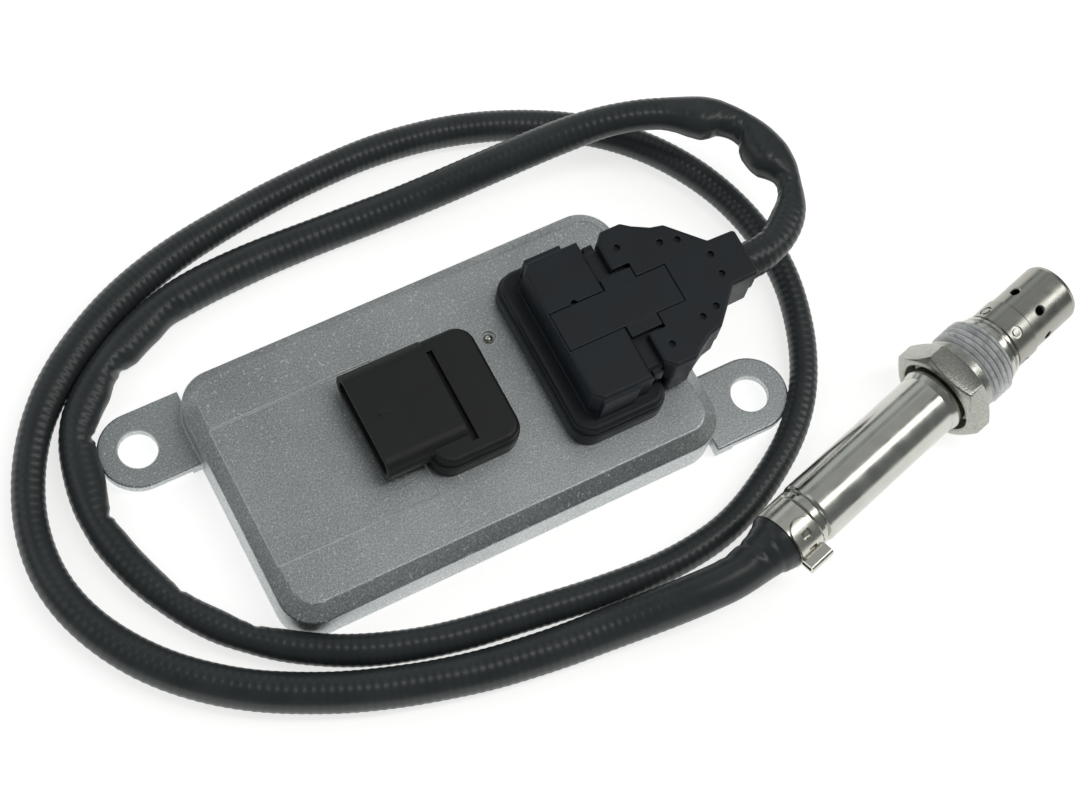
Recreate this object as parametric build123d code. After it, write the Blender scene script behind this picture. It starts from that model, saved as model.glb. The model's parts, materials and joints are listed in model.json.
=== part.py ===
from build123d import *
import math
import os

# Nitrogen oxide sensor for an exhaust pipe: a control unit, a plugged-in cable and a probe.
# Origin: centre of the control unit's two fixing holes, on the face that bolts to the carrier.
# +X runs along the unit towards the cable plug, +Z points out of its top. Millimetres.

# Control unit housing, die cast
UNIT_LENGTH = 109.0
UNIT_WIDTH = 64.0
UNIT_CORNER = 8.5
RIM_HEIGHT = 10.0
TOP_HEIGHT = 13.3
BEVEL_ANGLE = 46.0
HOUSING_WALL = 2.2
TOP_WALL = 1.8
RIM_FILLET = 0.9
TOP_FILLET = 0.5

# Fixing ears
FIXING_SPAN_X = 131.8
FIXING_SPAN_Y = 47.2
FIXING_HOLE = 9.0
EAR_WIDTH = 18.2
EAR_BOTTOM = 1.4
EAR_THICK = 2.4
EAR_ROOT = 2.2
EAR_FILLET = 0.5

# Label recess and the pressed-in test port ball
RECESS_RIGHT = -12.2
RECESS_FRONT = -17.3
RECESS_BACK = 17.6
RECESS_DEPTH = 0.35
BALL_X = 14.7
BALL_Y = 11.2
BALL_DIAMETER = 2.4
BALL_SEAT = 3.4
BALL_FIT = 0.02
BALL_STAND = 0.1

# Bottom cover and its sealing bead
COVER_THICK = 1.5
COVER_INSET = 0.4
COVER_CLEARANCE = 0.25
COVER_LEDGE = 1.5
BEAD_WIDTH = 1.2

# Circuit board, its posts and screws
BOARD_THICK = 1.6
BOARD_BOTTOM = 4.6
BOARD_GAP = 1.5
BOARD_CORNER = 5.0
POST_DIAMETER = 5.0
POST_INSET_X = 6.5
POST_INSET_Y = 6.5
SCREW_DIAMETER = 2.5
SCREW_HEAD = 4.4
SCREW_HEAD_HEIGHT = 1.2
SCREW_DEPTH = 2.6
SCREW_TIP_GAP = 0.4
THREAD_FIT = 0.05

# Chips on the board: gap under the body, and the legs' reach, thickness and share of the pitch
CHIP_STANDOFF = 0.15
CHIP_LEG_REACH = 1.0
CHIP_LEG_THICK = 0.2
CHIP_LEG_SHARE = 0.45

# Places of the pieces on the board, from its far left end, and their sizes
CHIP_HEIGHT = 1.8
SMALL_CHIP_HEIGHT = 1.5
CHIP_PITCH = 0.9
SMALL_CHIP_PITCH = 1.27
CONTROLLER_X = 15.3
CONTROLLER_Y = -15.0
CONTROLLER_LENGTH = 12.0
CONTROLLER_WIDTH = 10.0
DRIVE_X = 23.3
DRIVE_Y = 18.0
DRIVE_LENGTH = 9.0
DRIVE_WIDTH = 7.0
SMALL_CHIP_X = 31.3
TRANSCEIVER_Y = 5.5
REGULATOR_Y = -8.5
SMALL_CHIP_LENGTH = 5.0
SMALL_CHIP_WIDTH = 4.0
CAN_X = 5.3
CAN_Y = -4.0
CAN_PITCH = 8.0
CAN_DIAMETER = 6.4
CAN_HEADROOM = 0.9
CAN_FOOT = 0.8
CHOKE_X = 11.3
CHOKE_Y = 12.0
CHOKE_SIDE = 9.0
CHOKE_HEIGHT = 4.2
CHOKE_CORE = 5.8
CHOKE_GAP = 0.5
CRYSTAL_X = 29.3
CRYSTAL_Y = -19.0
CRYSTAL_LENGTH = 9.6
CRYSTAL_WIDTH = 3.6
CRYSTAL_HEIGHT = 3.0
CRYSTAL_RIM = 0.5
SWITCH_SHIFT = 1.2
SWITCH_Y = 12.0
SWITCH_LENGTH = 4.8
SWITCH_WIDTH = 5.8
SWITCH_HEIGHT = 2.2
SWITCH_TAB = 0.5

# Header blocks that stand on the housing
BLOCK_HEIGHT = 7.0
BLOCK_CORNER = 5.0
BLOCK_LIP = 0.5
BLOCK_LIP_HEIGHT = 4.0
BLOCK_FILLET = 1.2
SEAL_THICK = 1.0
SEAL_WIDTH = 1.6
SEAL_INSET = 1.4
SPIGOT_INSET = 3.6
SPIGOT_CORNER = 2.0
SPIGOT_CLEARANCE = 0.3
SPIGOT_DEPTH = 4.3
SPIGOT_BOTTOM = TOP_HEIGHT - SPIGOT_DEPTH

# Vehicle side header
VEHICLE_LEFT = -11.6
VEHICLE_RIGHT = 10.3
VEHICLE_HALF = 15.2
VEHICLE_MOUTH_X = -21.8
VEHICLE_SHROUD_END = -2.0
VEHICLE_SHROUD_FRONT = -10.8
VEHICLE_SHROUD_BACK = 15.2
VEHICLE_SHROUD_RISE = 0.3
VEHICLE_SHROUD_HEIGHT = 8.0
VEHICLE_SHROUD_BOTTOM = TOP_HEIGHT + VEHICLE_SHROUD_RISE
VEHICLE_SHROUD_TOP = VEHICLE_SHROUD_BOTTOM + VEHICLE_SHROUD_HEIGHT
VEHICLE_SHROUD_CORNER = 3.4
VEHICLE_SHROUD_WALL = 1.4
VEHICLE_GROOVE_WIDTH = 1.7
VEHICLE_GROOVE_HALF = 11.6
VEHICLE_GROOVE_DEPTH = 1.6
VEHICLE_NIB_X = -16.8
VEHICLE_NIB_Y = 2.5
VEHICLE_NIB_LENGTH = 2.6
VEHICLE_NIB_WIDTH = 1.2
VEHICLE_NIB_HEIGHT = 0.3
VEHICLE_PINS = 5
VEHICLE_PIN_PITCH = 4.0
VEHICLE_PIN_TIP = -14.5

# Sensor side header
SENSOR_LEFT = 20.0
SENSOR_RIGHT = 43.6
SENSOR_HALF = 21.9
SENSOR_SHROUD_X = 24.2
SENSOR_SHROUD_END = 38.7
SENSOR_SHROUD_HALF = 18.2
SENSOR_SHROUD_WALL = 1.8
SENSOR_KEY_THICK = 0.9
SENSOR_KEY_START = 25.8
SENSOR_KEY_LENGTH = 9.0
SENSOR_SHROUD_CHAMFER = 2.0
SENSOR_SHROUD_FILLET = 0.8
SENSOR_KEY_DROP = 0.6
SENSOR_SLOT_WALL = 0.4
SENSOR_NICK_X = 31.0
SENSOR_NICK = 1.6
SENSOR_PIN_PITCH = 6.4
SENSOR_PIN_ROWS = 2
SENSOR_PIN_COLUMNS = 4
SENSOR_PIN_ROW_GAP = 3.0
SENSOR_PIN_TIP = 36.0
SENSOR_PIN_BACK = 5.0
SENSOR_PIN_RISE = 0.9

# Contact pins in both headers
PIN_WIDTH = 1.5
PIN_THICK = 0.8
PIN_TIP_SHARE = 0.3
PIN_TAIL = 0.8

# Plug of the cable
PLUG_RISE = 16.2
PLUG_TOP = TOP_HEIGHT + PLUG_RISE
PLUG_CLEARANCE = 0.2
PLUG_TIP_X = 30.6
PLUG_SEAL_X = 34.0
PLUG_SEAL_WIDTH = 2.0
PLUG_SEAL_DEPTH = 1.0
CAVITY_HALF = 1.2
TERMINAL_HALF = 1.15
TERMINAL_FRONT = 33.0
TERMINAL_REAR = 44.5
NECK_HALF = 15.8
NECK_DROP = 2.1
NECK_HEIGHT = 9.8
NECK_TOP = PLUG_TOP - NECK_DROP
NECK_BOTTOM = NECK_TOP - NECK_HEIGHT
NECK_KEY_START = 39.9
NECK_KEY_END = 42.2
NECK_KEY_THICK = 1.3
NECK_KEY_HEIGHT = 3.4
NECK_END = 47.5
NECK_CHAMFER = 0.8
LATCH_HALF = 4.85
LATCH_END = 54.0
LATCH_THICK = 1.7
LATCH_SHOULDER = 7.6
LATCH_SHOULDER_END = 46.7
LATCH_FILLET = 0.25
SLOT_CLEARANCE = 0.15

# Backshell, in two halves
SHELL_FRONT = 42.4
SHELL_END = 72.8
SHELL_RISE = 1.9
SHELL_BOTTOM = TOP_HEIGHT + SHELL_RISE
SHELL_WALL = 1.5
SHELL_FRONT_HALF = 15.7
SHELL_SHOULDER_START = 44.6
SHELL_SHOULDER_END = 49.7
SHELL_SHOULDER_HALF = 18.1
SHELL_WAIST_START = 51.8
SHELL_WAIST_START_HALF = 16.5
SHELL_WAIST_END = 55.6
SHELL_WAIST_END_HALF = 14.4
SHELL_TAPER_START = 58.6
SHELL_TAPER_START_HALF = 13.7
SHELL_TAPER_END = 65.9
SHELL_TAPER_END_HALF = 6.1
SHELL_EXIT_HALF = 5.9
SHELL_CORNER = 0.9
SHELL_TOP_FILLET = 0.7
SHELL_LOWER_INSET = 0.3
SHELL_HOLE = 1.7
SHELL_HOLE_DEPTH = 1.0
SHELL_HOLE_PLACES = ((46.1, 12.9), (55.6, 10.0), (59.6, 9.0), (64.7, 2.6))
SHELL_CUTOUT_HALF = 8.6
BLOCK_CLEARANCE = 0.3

# Cable, its grommet in the backshell and its boot on the probe
CABLE_DIAMETER = 8.0
CABLE_AXIS_RISE = 8.7
CABLE_AXIS_HEIGHT = TOP_HEIGHT + CABLE_AXIS_RISE
FLOOR_GAP = 0.05
CABLE_LEAD_IN = 9.0
BEND_SHARE = 0.45
WIRE_DIAMETER = 1.1
WIRE_COUNT = 8
WIRE_RING = 2.6
WIRE_STRAIGHT = 5.0
WIRE_BEND = 1.5
GROMMET_LENGTH = 9.0
GROMMET_COLLAR = 9.6
BOOT_REAR = -14.0
BOOT_FRONT = -4.8
BOOT_REAR_DIAMETER = 11.8
BOOT_FRONT_DIAMETER = 13.4
BOOT_TAPER_END = -12.4

# Probe: place of its axis, and stations along it from the rear tube's measured datum
PROBE_X = 62.2
PROBE_Y = -56.1
PROBE_TURN = 15.8
TUBE_REAR = -2.2
TUBE_END_ROUND = 0.8
BEAD_DIAMETER = 14.8
BEAD_REAR = -4.7
BEAD_FRONT = -2.7
BEAD_ROUND = 0.4
TUBE_GROOVE = 13.4
TUBE_DIAMETER = 15.4
TUBE_WALL = 0.8
TUBE_FRONT = 41.5
TUBE_FLARE = 0.5
TUBE_ROLL = 1.2
NIPPLE_DIAMETER = 11.0
NIPPLE_REAR = -11.0
CLAMP_WIDTH = 6.6
CLAMP_FRONT = -5.0
CLAMP_THICK = 0.7
CLAMP_EAR_HEIGHT = 3.4
CLAMP_EAR_WIDTH = 2.6
CLAMP_EAR_ROUND = 0.75
CLAMP_EAR_ANGLE = 168.0
CLAMP_LAP_LENGTH = 9.8
CLAMP_LAP_CORNER = 2.9
CLAMP_LAP_ANGLE = 38.0
CLAMP_WINDOW_LENGTH = 2.5
CLAMP_WINDOW_WIDTH = 2.2
CLAMP_WINDOW_OFFSET = 1.4
CLAMP_HOOK = 1.1
CLAMP_SLOT_LENGTH = 2.2
CLAMP_SLOT_WIDTH = 1.1
CLAMP_SLOT_OFFSET = -2.6

# Union nut, M20 x 1.5 with a 22 mm hexagon
THREAD_MAJOR = 20.0
THREAD_DEPTH = 0.98
NUT_ACROSS_FLATS = 22.0
NUT_REAR = 41.0
NUT_HEX_LENGTH = 6.6
NUT_RELIEF = 1.6
NUT_FRONT = 58.2
NUT_RECESS = 18.4
NUT_RECESS_DEPTH = 4.0
NUT_CHAMFER = 1.2
NUT_FACE_INSET = 0.5
NUT_RECESS_TAPER = 0.8
NUT_RUNNING_GAP = 0.09
NUT_SEAT_GAP = 0.1

# Sensor shell: the steel body that the nut runs on
SHELL_BODY_DIAMETER = 14.2
SEAT_DIAMETER = 17.6
SEAT_THICK = 2.0
SEAT_GROOVE = 15.6
SEAT_BEAD = 16.6
SHELL_FRONT_STATION = 62.0
SHELL_BORE = 8.6
SHELL_SPIGOT_LENGTH = 6.0
SHELL_SHOULDER = 1.2
SHELL_TRANSITION = 0.8
SEAT_BEAD_START = 0.3
SEAT_BEAD_END = 0.8
SEAT_STEP = 1.0
CAP_SPIGOT_LENGTH = 2.2

# Protection caps over the sensing tip
CAP_REAR_DIAMETER = 15.8
CAP_DIAMETER = 15.0
CAP_REAR = 62.0
CAP_STEP = 68.4
CAP_TIP = 83.0
CAP_WALL = 0.5
CAP_EDGE = 1.4
CAP_VENT = 2.2
CAP_VENT_STATION = 72.6
CAP_VENT_COUNT = 6
CAP_OUTLET = 2.6
CAP_STEP_LENGTH = 0.4
VENT_START_ANGLE = 18.0
VENT_RIM = 0.35
VENT_RIM_DEPTH = 0.2
DIMPLE_STATION = 64.1
DIMPLE_DIAMETER = 3.0
DIMPLE_CENTRE = 1.9
DIMPLE_DEPTH = 0.3
DIMPLE_COUNT = 5
INNER_CAP_DIAMETER = 9.6
INNER_CAP_TIP = 79.0
INNER_CAP_EDGE = 1.0
INNER_CAP_OUTLET = 1.6
INNER_CAP_VENT = 1.2
INNER_CAP_VENT_STATION = 76.0

# Ceramic parts inside the probe
ELEMENT_WIDTH = 4.2
ELEMENT_THICK = 1.3
ELEMENT_TIP = 77.0
ELEMENT_REAR = 22.0
INSULATOR_FIT = 0.1
INSULATOR_SET_BACK = 4.0
REAR_INSULATOR_LENGTH = 8.0
POWDER_LENGTH = 5.0
HOLDER_DIAMETER = 11.6
HOLDER_REAR = 18.0
HOLDER_FRONT = 34.0
HOLDER_CHAMFER = 1.0
CONTACT_THICK = 0.25
CONTACT_WIDTH = 0.9
CONTACT_COUNT = 4
CONTACT_TAIL = 2.0
REAR_GROMMET_LENGTH = 9.0
LEAD_REAR = -4.0

# Route of the cable's centre line, from the plug round the unit twice to the probe's boot.
# The first stretch leaves the plug above the floor and lies over the second turn.
LIE = CABLE_DIAMETER / 2 + FLOOR_GAP
CABLE_ROUTE = [
    (SHELL_END, 0.0, CABLE_AXIS_HEIGHT),
    (81.6, 0.0, CABLE_AXIS_HEIGHT),
    (90.8, 5.4, CABLE_AXIS_HEIGHT - 0.3),
    (96.2, 16.0, CABLE_AXIS_HEIGHT - 0.8),
    (95.6, 28.2, CABLE_AXIS_HEIGHT - 1.2),
    (89.6, 38.0, CABLE_AXIS_HEIGHT - 1.4),
    (79.0, 44.2, LIE + 16.45),
    (66.0, 47.2, LIE + 16.25),
    (50.0, 48.6, LIE + 12.35),
    (33.0, 50.3, LIE + 6.35),
    (15.0, 52.7, LIE + 1.55),
    (-5.0, 54.1, LIE),
    (-23.0, 54.5, LIE),
    (-40.0, 53.0, LIE),
    (-54.5, 49.2, LIE),
    (-67.2, 42.0, LIE),
    (-76.6, 33.8, LIE),
    (-81.2, 22.8, LIE),
    (-82.2, 10.5, LIE),
    (-79.6, -1.8, LIE),
    (-74.6, -13.0, LIE),
    (-66.6, -23.9, LIE),
    (-56.0, -33.0, LIE),
    (-42.0, -40.3, LIE),
    (-24.0, -45.5, LIE),
    (-4.0, -48.8, LIE),
    (15.5, -51.5, LIE),
    (31.0, -52.3, LIE),
    (46.0, -50.2, LIE),
    (60.0, -44.6, LIE),
    (72.2, -37.5, LIE),
    (80.5, -27.8, LIE),
    (85.6, -14.5, LIE),
    (88.7, 0.0, LIE),
    (88.1, 16.0, LIE),
    (83.2, 31.0, LIE),
    (74.4, 44.2, LIE),
    (62.5, 54.6, LIE),
    (48.3, 62.0, LIE),
    (32.5, 66.8, LIE),
    (15.5, 69.1, LIE),
    (-3.5, 69.0, LIE),
    (-22.5, 67.0, LIE),
    (-41.0, 63.4, LIE),
    (-57.6, 57.8, LIE),
    (-71.6, 50.2, LIE),
    (-82.8, 40.5, LIE),
    (-91.0, 28.6, LIE),
    (-95.2, 15.5, LIE),
    (-95.7, 2.0, LIE),
    (-91.6, -11.5, LIE),
    (-83.4, -23.9, LIE),
    (-72.5, -34.4, LIE),
    (-58.5, -43.2, LIE),
    (-41.5, -50.2, LIE),
    (-22.3, -55.5, LIE),
    (-4.5, -58.6, LIE),
    (9.0, -60.2, LIE + 0.75),
    (20.6, -61.9, LIE + 3.35),
    (30.6, -62.9, LIE + 5.95),
]


def rounded_block(length, width, corner, bottom, top, centre_x=0.0, centre_y=0.0):
    """A straight block with rounded vertical edges."""
    outline = Pos(centre_x, centre_y, bottom) * RectangleRounded(length, width, corner)
    return extrude(outline, top - bottom)


def box_between(low, high):
    """A square box from its low corner to its high corner."""
    size = [high[i] - low[i] for i in range(3)]
    centre = [(high[i] + low[i]) / 2 for i in range(3)]
    return Pos(*centre) * Box(*size)


def turned(points):
    """A solid of revolution about Z from (radius, station) points."""
    outline = Polyline(*[(r, 0, z) for r, z in points], close=True)
    return revolve(make_face(outline), Axis.Z)


def place_on_probe(solid):
    """Move a solid from the probe's own frame, axis along Z, to where the probe lies."""
    half_hex = NUT_ACROSS_FLATS / 2
    return Pos(PROBE_X, PROBE_Y, half_hex) * Rot(0, 0, PROBE_TURN) * Rot(0, 90, 0) * solid


def housing_outer():
    """Outer form of the housing: straight wall, bevel band and flat top."""
    bevel = TOP_HEIGHT - RIM_HEIGHT
    lower = rounded_block(UNIT_LENGTH, UNIT_WIDTH, UNIT_CORNER, 0, RIM_HEIGHT)
    upper = extrude(
        Pos(0, 0, RIM_HEIGHT) * RectangleRounded(UNIT_LENGTH, UNIT_WIDTH, UNIT_CORNER),
        bevel,
        taper=BEVEL_ANGLE,
    )
    shell = lower + upper
    flat_edges = shell.edges().filter_by_position(Axis.Z, RIM_HEIGHT - 0.01, RIM_HEIGHT + 0.01)
    shell = fillet(flat_edges, RIM_FILLET)
    return fillet(shell.faces().sort_by(Axis.Z)[-1].edges(), TOP_FILLET)


def housing_cavity():
    """Hollow inside the housing, open at the bottom, with a ledge for the cover."""
    length = UNIT_LENGTH - 2 * HOUSING_WALL
    width = UNIT_WIDTH - 2 * HOUSING_WALL
    corner = UNIT_CORNER - HOUSING_WALL
    seat = COVER_INSET + COVER_THICK
    inner_length = length - 2 * COVER_LEDGE
    inner_width = width - 2 * COVER_LEDGE
    inner_corner = corner - COVER_LEDGE
    main = rounded_block(inner_length, inner_width, inner_corner, 0, RIM_HEIGHT - TOP_WALL)
    ceiling = Pos(0, 0, RIM_HEIGHT - TOP_WALL) * RectangleRounded(inner_length, inner_width, inner_corner)
    roof = extrude(ceiling, TOP_HEIGHT - RIM_HEIGHT, taper=BEVEL_ANGLE / 2)
    opening = rounded_block(length, width, corner, 0, seat)
    return main + roof + opening


def ear(side):
    """One fixing ear with its rounded end and hole; side is +1 on the right, -1 on the left."""
    hole_x = side * FIXING_SPAN_X / 2
    hole_y = -side * FIXING_SPAN_Y / 2
    top = EAR_BOTTOM + EAR_THICK
    root_x = side * (UNIT_LENGTH / 2 - HOUSING_WALL)
    reach = Pos((hole_x + root_x) / 2, hole_y, EAR_BOTTOM) * Rectangle(abs(hole_x - root_x), EAR_WIDTH)
    tab = extrude(reach, EAR_THICK)
    end = Pos(hole_x, hole_y, EAR_BOTTOM) * extrude(Circle(EAR_WIDTH / 2), EAR_THICK)
    root_end = side * (UNIT_LENGTH / 2 + EAR_ROOT)
    low = (min(root_x, root_end), hole_y - EAR_WIDTH / 2, 0)
    high = (max(root_x, root_end), hole_y + EAR_WIDTH / 2, top)
    hole = Pos(hole_x, hole_y, 0) * extrude(Circle(FIXING_HOLE / 2), top)
    plate = tab + end + box_between(low, high)
    plate = fillet(plate.faces().sort_by(Axis.Z)[-1].edges(), EAR_FILLET)
    return plate - hole


def post_places():
    """Centres of the four posts that carry the circuit board."""
    x = UNIT_LENGTH / 2 - HOUSING_WALL - COVER_LEDGE - POST_INSET_X
    y = UNIT_WIDTH / 2 - HOUSING_WALL - COVER_LEDGE - POST_INSET_Y
    return [(i * x, j * y) for i in (-1, 1) for j in (-1, 1)]


def label_recess():
    """The sunk field on the top, open at the left bevel."""
    low = (-UNIT_LENGTH / 2, RECESS_FRONT, TOP_HEIGHT - RECESS_DEPTH)
    high = (RECESS_RIGHT, RECESS_BACK, TOP_HEIGHT + RECESS_DEPTH)
    return box_between(low, high)


def vehicle_centre():
    """Centre and size of the vehicle header's block in plan."""
    length = VEHICLE_RIGHT - VEHICLE_LEFT
    return (VEHICLE_RIGHT + VEHICLE_LEFT) / 2, length, 2 * VEHICLE_HALF


def sensor_centre():
    """Centre and size of the sensor header's block in plan."""
    length = SENSOR_RIGHT - SENSOR_LEFT
    return (SENSOR_RIGHT + SENSOR_LEFT) / 2, length, 2 * SENSOR_HALF


def spigot(plan, clearance, bottom, top):
    """The part of a header that passes through the housing's top, or the hole for it."""
    x, length, width = plan
    return rounded_block(
        length - 2 * SPIGOT_INSET + 2 * clearance,
        width - 2 * SPIGOT_INSET + 2 * clearance,
        SPIGOT_CORNER + clearance,
        bottom,
        top,
        x,
    )


def seal_groove(plan, bottom, top):
    """Closed ring that follows a header's block, for its seal."""
    x, length, width = plan
    rings = []
    for inset in (SEAL_INSET, SEAL_INSET + SEAL_WIDTH):
        corner = BLOCK_CORNER - inset
        rings.append(rounded_block(length - 2 * inset, width - 2 * inset, corner, bottom, top, x))
    return rings[0] - rings[1]


def make_housing():
    """Die cast housing with ears, posts, recess and the two header openings."""
    body = housing_outer() + ear(-1) + ear(1) - housing_cavity() - label_recess()
    post = extrude(Circle(POST_DIAMETER / 2), TOP_HEIGHT - TOP_WALL / 2 - board_top())
    thread = extrude(Circle(SCREW_DIAMETER / 2 + THREAD_FIT), SCREW_DEPTH)
    for x, y in post_places():
        body = body + Pos(x, y, board_top()) * post - Pos(x, y, board_top()) * thread
    for plan in (vehicle_centre(), sensor_centre()):
        body = body - spigot(plan, SPIGOT_CLEARANCE, RIM_HEIGHT / 2, TOP_HEIGHT + RECESS_DEPTH)
    seat = Pos(BALL_X, BALL_Y, TOP_HEIGHT - BALL_SEAT / 4) * extrude(Circle(BALL_SEAT / 2), BALL_SEAT)
    hole = Pos(BALL_X, BALL_Y, 0) * extrude(Circle(BALL_DIAMETER / 2 + BALL_FIT), TOP_HEIGHT)
    return body - seat - hole


def make_bottom_cover():
    """Plate that closes the housing from below, its middle pressed out level with the rim."""
    length = UNIT_LENGTH - 2 * HOUSING_WALL - 2 * COVER_CLEARANCE
    width = UNIT_WIDTH - 2 * HOUSING_WALL - 2 * COVER_CLEARANCE
    corner = UNIT_CORNER - HOUSING_WALL - COVER_CLEARANCE
    plate = rounded_block(length, width, corner, COVER_INSET, COVER_INSET + COVER_THICK)
    inner = 2 * (COVER_LEDGE + BEAD_WIDTH)
    field = rounded_block(length - inner, width - inner, corner - COVER_LEDGE, 0, COVER_INSET)
    return plate + field


def make_cover_bead():
    """Sealing bead on the inside edge of the bottom cover."""
    length = UNIT_LENGTH - 2 * HOUSING_WALL - 2 * COVER_LEDGE
    width = UNIT_WIDTH - 2 * HOUSING_WALL - 2 * COVER_LEDGE
    corner = UNIT_CORNER - HOUSING_WALL - COVER_LEDGE
    bottom = COVER_INSET + COVER_THICK
    outer = rounded_block(length, width, corner, bottom, bottom + BEAD_WIDTH)
    inner = rounded_block(
        length - 2 * BEAD_WIDTH, width - 2 * BEAD_WIDTH, corner - BEAD_WIDTH, bottom, bottom + BEAD_WIDTH
    )
    return outer - inner


def board_top():
    """Height of the circuit board's upper face."""
    return BOARD_BOTTOM + BOARD_THICK


def make_circuit_board():
    """Circuit board with screw holes and the holes for both headers' pins."""
    length, width = board_size()
    board = rounded_block(length, width, BOARD_CORNER, BOARD_BOTTOM, board_top())
    for x, y in post_places():
        hole = extrude(Circle(SCREW_DIAMETER / 2 + THREAD_FIT), BOARD_THICK)
        board = board - Pos(x, y, BOARD_BOTTOM) * hole
    side = PIN_WIDTH / 2 + SPIGOT_CLEARANCE
    for x, y in vehicle_pin_roots() + sensor_pin_roots():
        low = (x - side, y - side, BOARD_BOTTOM)
        board = board - box_between(low, (x + side, y + side, board_top()))
    return board


def make_board_screws():
    """Four screws that hold the board to the posts."""
    screws = []
    for x, y in post_places():
        under = BOARD_BOTTOM - SCREW_HEAD_HEIGHT
        shank = extrude(Circle(SCREW_DIAMETER / 2), BOARD_THICK + SCREW_DEPTH - SCREW_TIP_GAP)
        head = extrude(Circle(SCREW_HEAD / 2), SCREW_HEAD_HEIGHT)
        socket = extrude(RegularPolygon(SCREW_HEAD / 4, 6), SCREW_HEAD_HEIGHT / 2)
        screw = Pos(x, y, BOARD_BOTTOM) * shank + Pos(x, y, under) * head
        screws.append(screw - Pos(x, y, under) * socket)
    return screws


def chip(x, y, length, width, height, legs, pitch):
    """A moulded chip with a row of bent legs on its two long sides."""
    base = board_top()
    low = (x - length / 2, y - width / 2, base + CHIP_STANDOFF)
    body = box_between(low, (x + length / 2, y + width / 2, base + height))
    half = pitch * CHIP_LEG_SHARE / 2
    middle = base + height / 2
    for side in (-1, 1):
        edge = y + side * width / 2
        knee = edge + side * CHIP_LEG_REACH / 2
        tip = edge + side * CHIP_LEG_REACH
        runs = (
            (edge - side * CHIP_LEG_THICK, knee, middle - CHIP_LEG_THICK, middle),
            (knee - side * CHIP_LEG_THICK, knee, base, middle),
            (knee - side * CHIP_LEG_THICK, tip, base, base + CHIP_LEG_THICK),
        )
        for i in range(legs):
            leg_x = x + (i - (legs - 1) / 2) * pitch
            for start, stop, bottom, top in runs:
                front, back = sorted((start, stop))
                body = body + box_between((leg_x - half, front, bottom), (leg_x + half, back, top))
    return body


def board_size():
    """Length and width of the circuit board."""
    margin = 2 * (HOUSING_WALL + COVER_LEDGE + BOARD_GAP)
    return UNIT_LENGTH - margin, UNIT_WIDTH - margin


def board_x(offset):
    """A place along the unit, measured from the board's far left end."""
    return offset - board_size()[0] / 2


def make_capacitors():
    """Three round electrolytic capacitors at the board's far left end."""
    base = board_top()
    height = TOP_HEIGHT - TOP_WALL - CAN_HEADROOM - base
    radius = CAN_DIAMETER / 2
    foot = radius + CAN_FOOT / 4
    cans = []
    for i in range(3):
        x = board_x(CAN_X + i * CAN_PITCH)
        can = Pos(x, CAN_Y, base) * extrude(Circle(radius), height)
        low = (x - foot, CAN_Y - foot, base)
        cans.append(can + box_between(low, (x + foot, CAN_Y + foot, base + CAN_FOOT)))
    return cans


def make_inductor():
    """Shielded power choke with a round gap in its top."""
    base = board_top()
    x = board_x(CHOKE_X)
    corner = CHOKE_SIDE / 4.5
    core = rounded_block(CHOKE_SIDE, CHOKE_SIDE, corner, base, base + CHOKE_HEIGHT, x, CHOKE_Y)
    place = Pos(x, CHOKE_Y, base + CHOKE_HEIGHT - CHOKE_GAP)
    ring = Circle(CHOKE_CORE / 2 + CHOKE_GAP) - Circle(CHOKE_CORE / 2)
    return core - place * extrude(ring, CHOKE_GAP)


def make_crystal():
    """Oblong can of the clock crystal, on its flange."""
    base = board_top()
    x = board_x(CRYSTAL_X)
    corner = CRYSTAL_WIDTH / 2 - CRYSTAL_RIM / 4
    can = rounded_block(CRYSTAL_LENGTH, CRYSTAL_WIDTH, corner, base, base + CRYSTAL_HEIGHT, x, CRYSTAL_Y)
    length = CRYSTAL_LENGTH + 2 * CRYSTAL_RIM
    width = CRYSTAL_WIDTH + 2 * CRYSTAL_RIM
    return can + rounded_block(length, width, corner + CRYSTAL_RIM, base, base + CRYSTAL_RIM, x, CRYSTAL_Y)


def make_heater_switches():
    """Two power transistors between the headers, which switch the probe's heaters."""
    base = board_top()
    switches = []
    for side in (-1, 1):
        x = (VEHICLE_RIGHT + SENSOR_LEFT + (side - 1) * SWITCH_SHIFT) / 2
        y = side * SWITCH_Y
        tab_x = SWITCH_LENGTH / 2 + SWITCH_TAB / 2
        tab_y = SWITCH_WIDTH / 2 + 2 * SWITCH_TAB
        tab = box_between((x - tab_x, y - tab_y, base), (x + tab_x, y + tab_y, base + SWITCH_TAB))
        low = (x - SWITCH_LENGTH / 2, y - SWITCH_WIDTH / 2, base)
        high = (x + SWITCH_LENGTH / 2, y + SWITCH_WIDTH / 2, base + SWITCH_HEIGHT)
        switches.append(tab + box_between(low, high))
    return switches


def make_controller():
    """The microcontroller."""
    x = board_x(CONTROLLER_X)
    return chip(x, CONTROLLER_Y, CONTROLLER_LENGTH, CONTROLLER_WIDTH, CHIP_HEIGHT, 12, CHIP_PITCH)


def make_drive_chip():
    """The chip that drives the probe's pumping cells."""
    return chip(board_x(DRIVE_X), DRIVE_Y, DRIVE_LENGTH, DRIVE_WIDTH, CHIP_HEIGHT, 8, CHIP_PITCH)


def small_chip(y):
    """One of the two small chips, which stand in line across the board."""
    x = board_x(SMALL_CHIP_X)
    return chip(x, y, SMALL_CHIP_LENGTH, SMALL_CHIP_WIDTH, SMALL_CHIP_HEIGHT, 4, SMALL_CHIP_PITCH)


def vehicle_pin_roots():
    """Where the vehicle header's pins enter the board."""
    x = (VEHICLE_LEFT + VEHICLE_RIGHT) / 2
    middle = (VEHICLE_SHROUD_FRONT + VEHICLE_SHROUD_BACK) / 2
    first = middle - (VEHICLE_PINS - 1) / 2 * VEHICLE_PIN_PITCH
    return [(x, first + i * VEHICLE_PIN_PITCH) for i in range(VEHICLE_PINS)]


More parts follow.
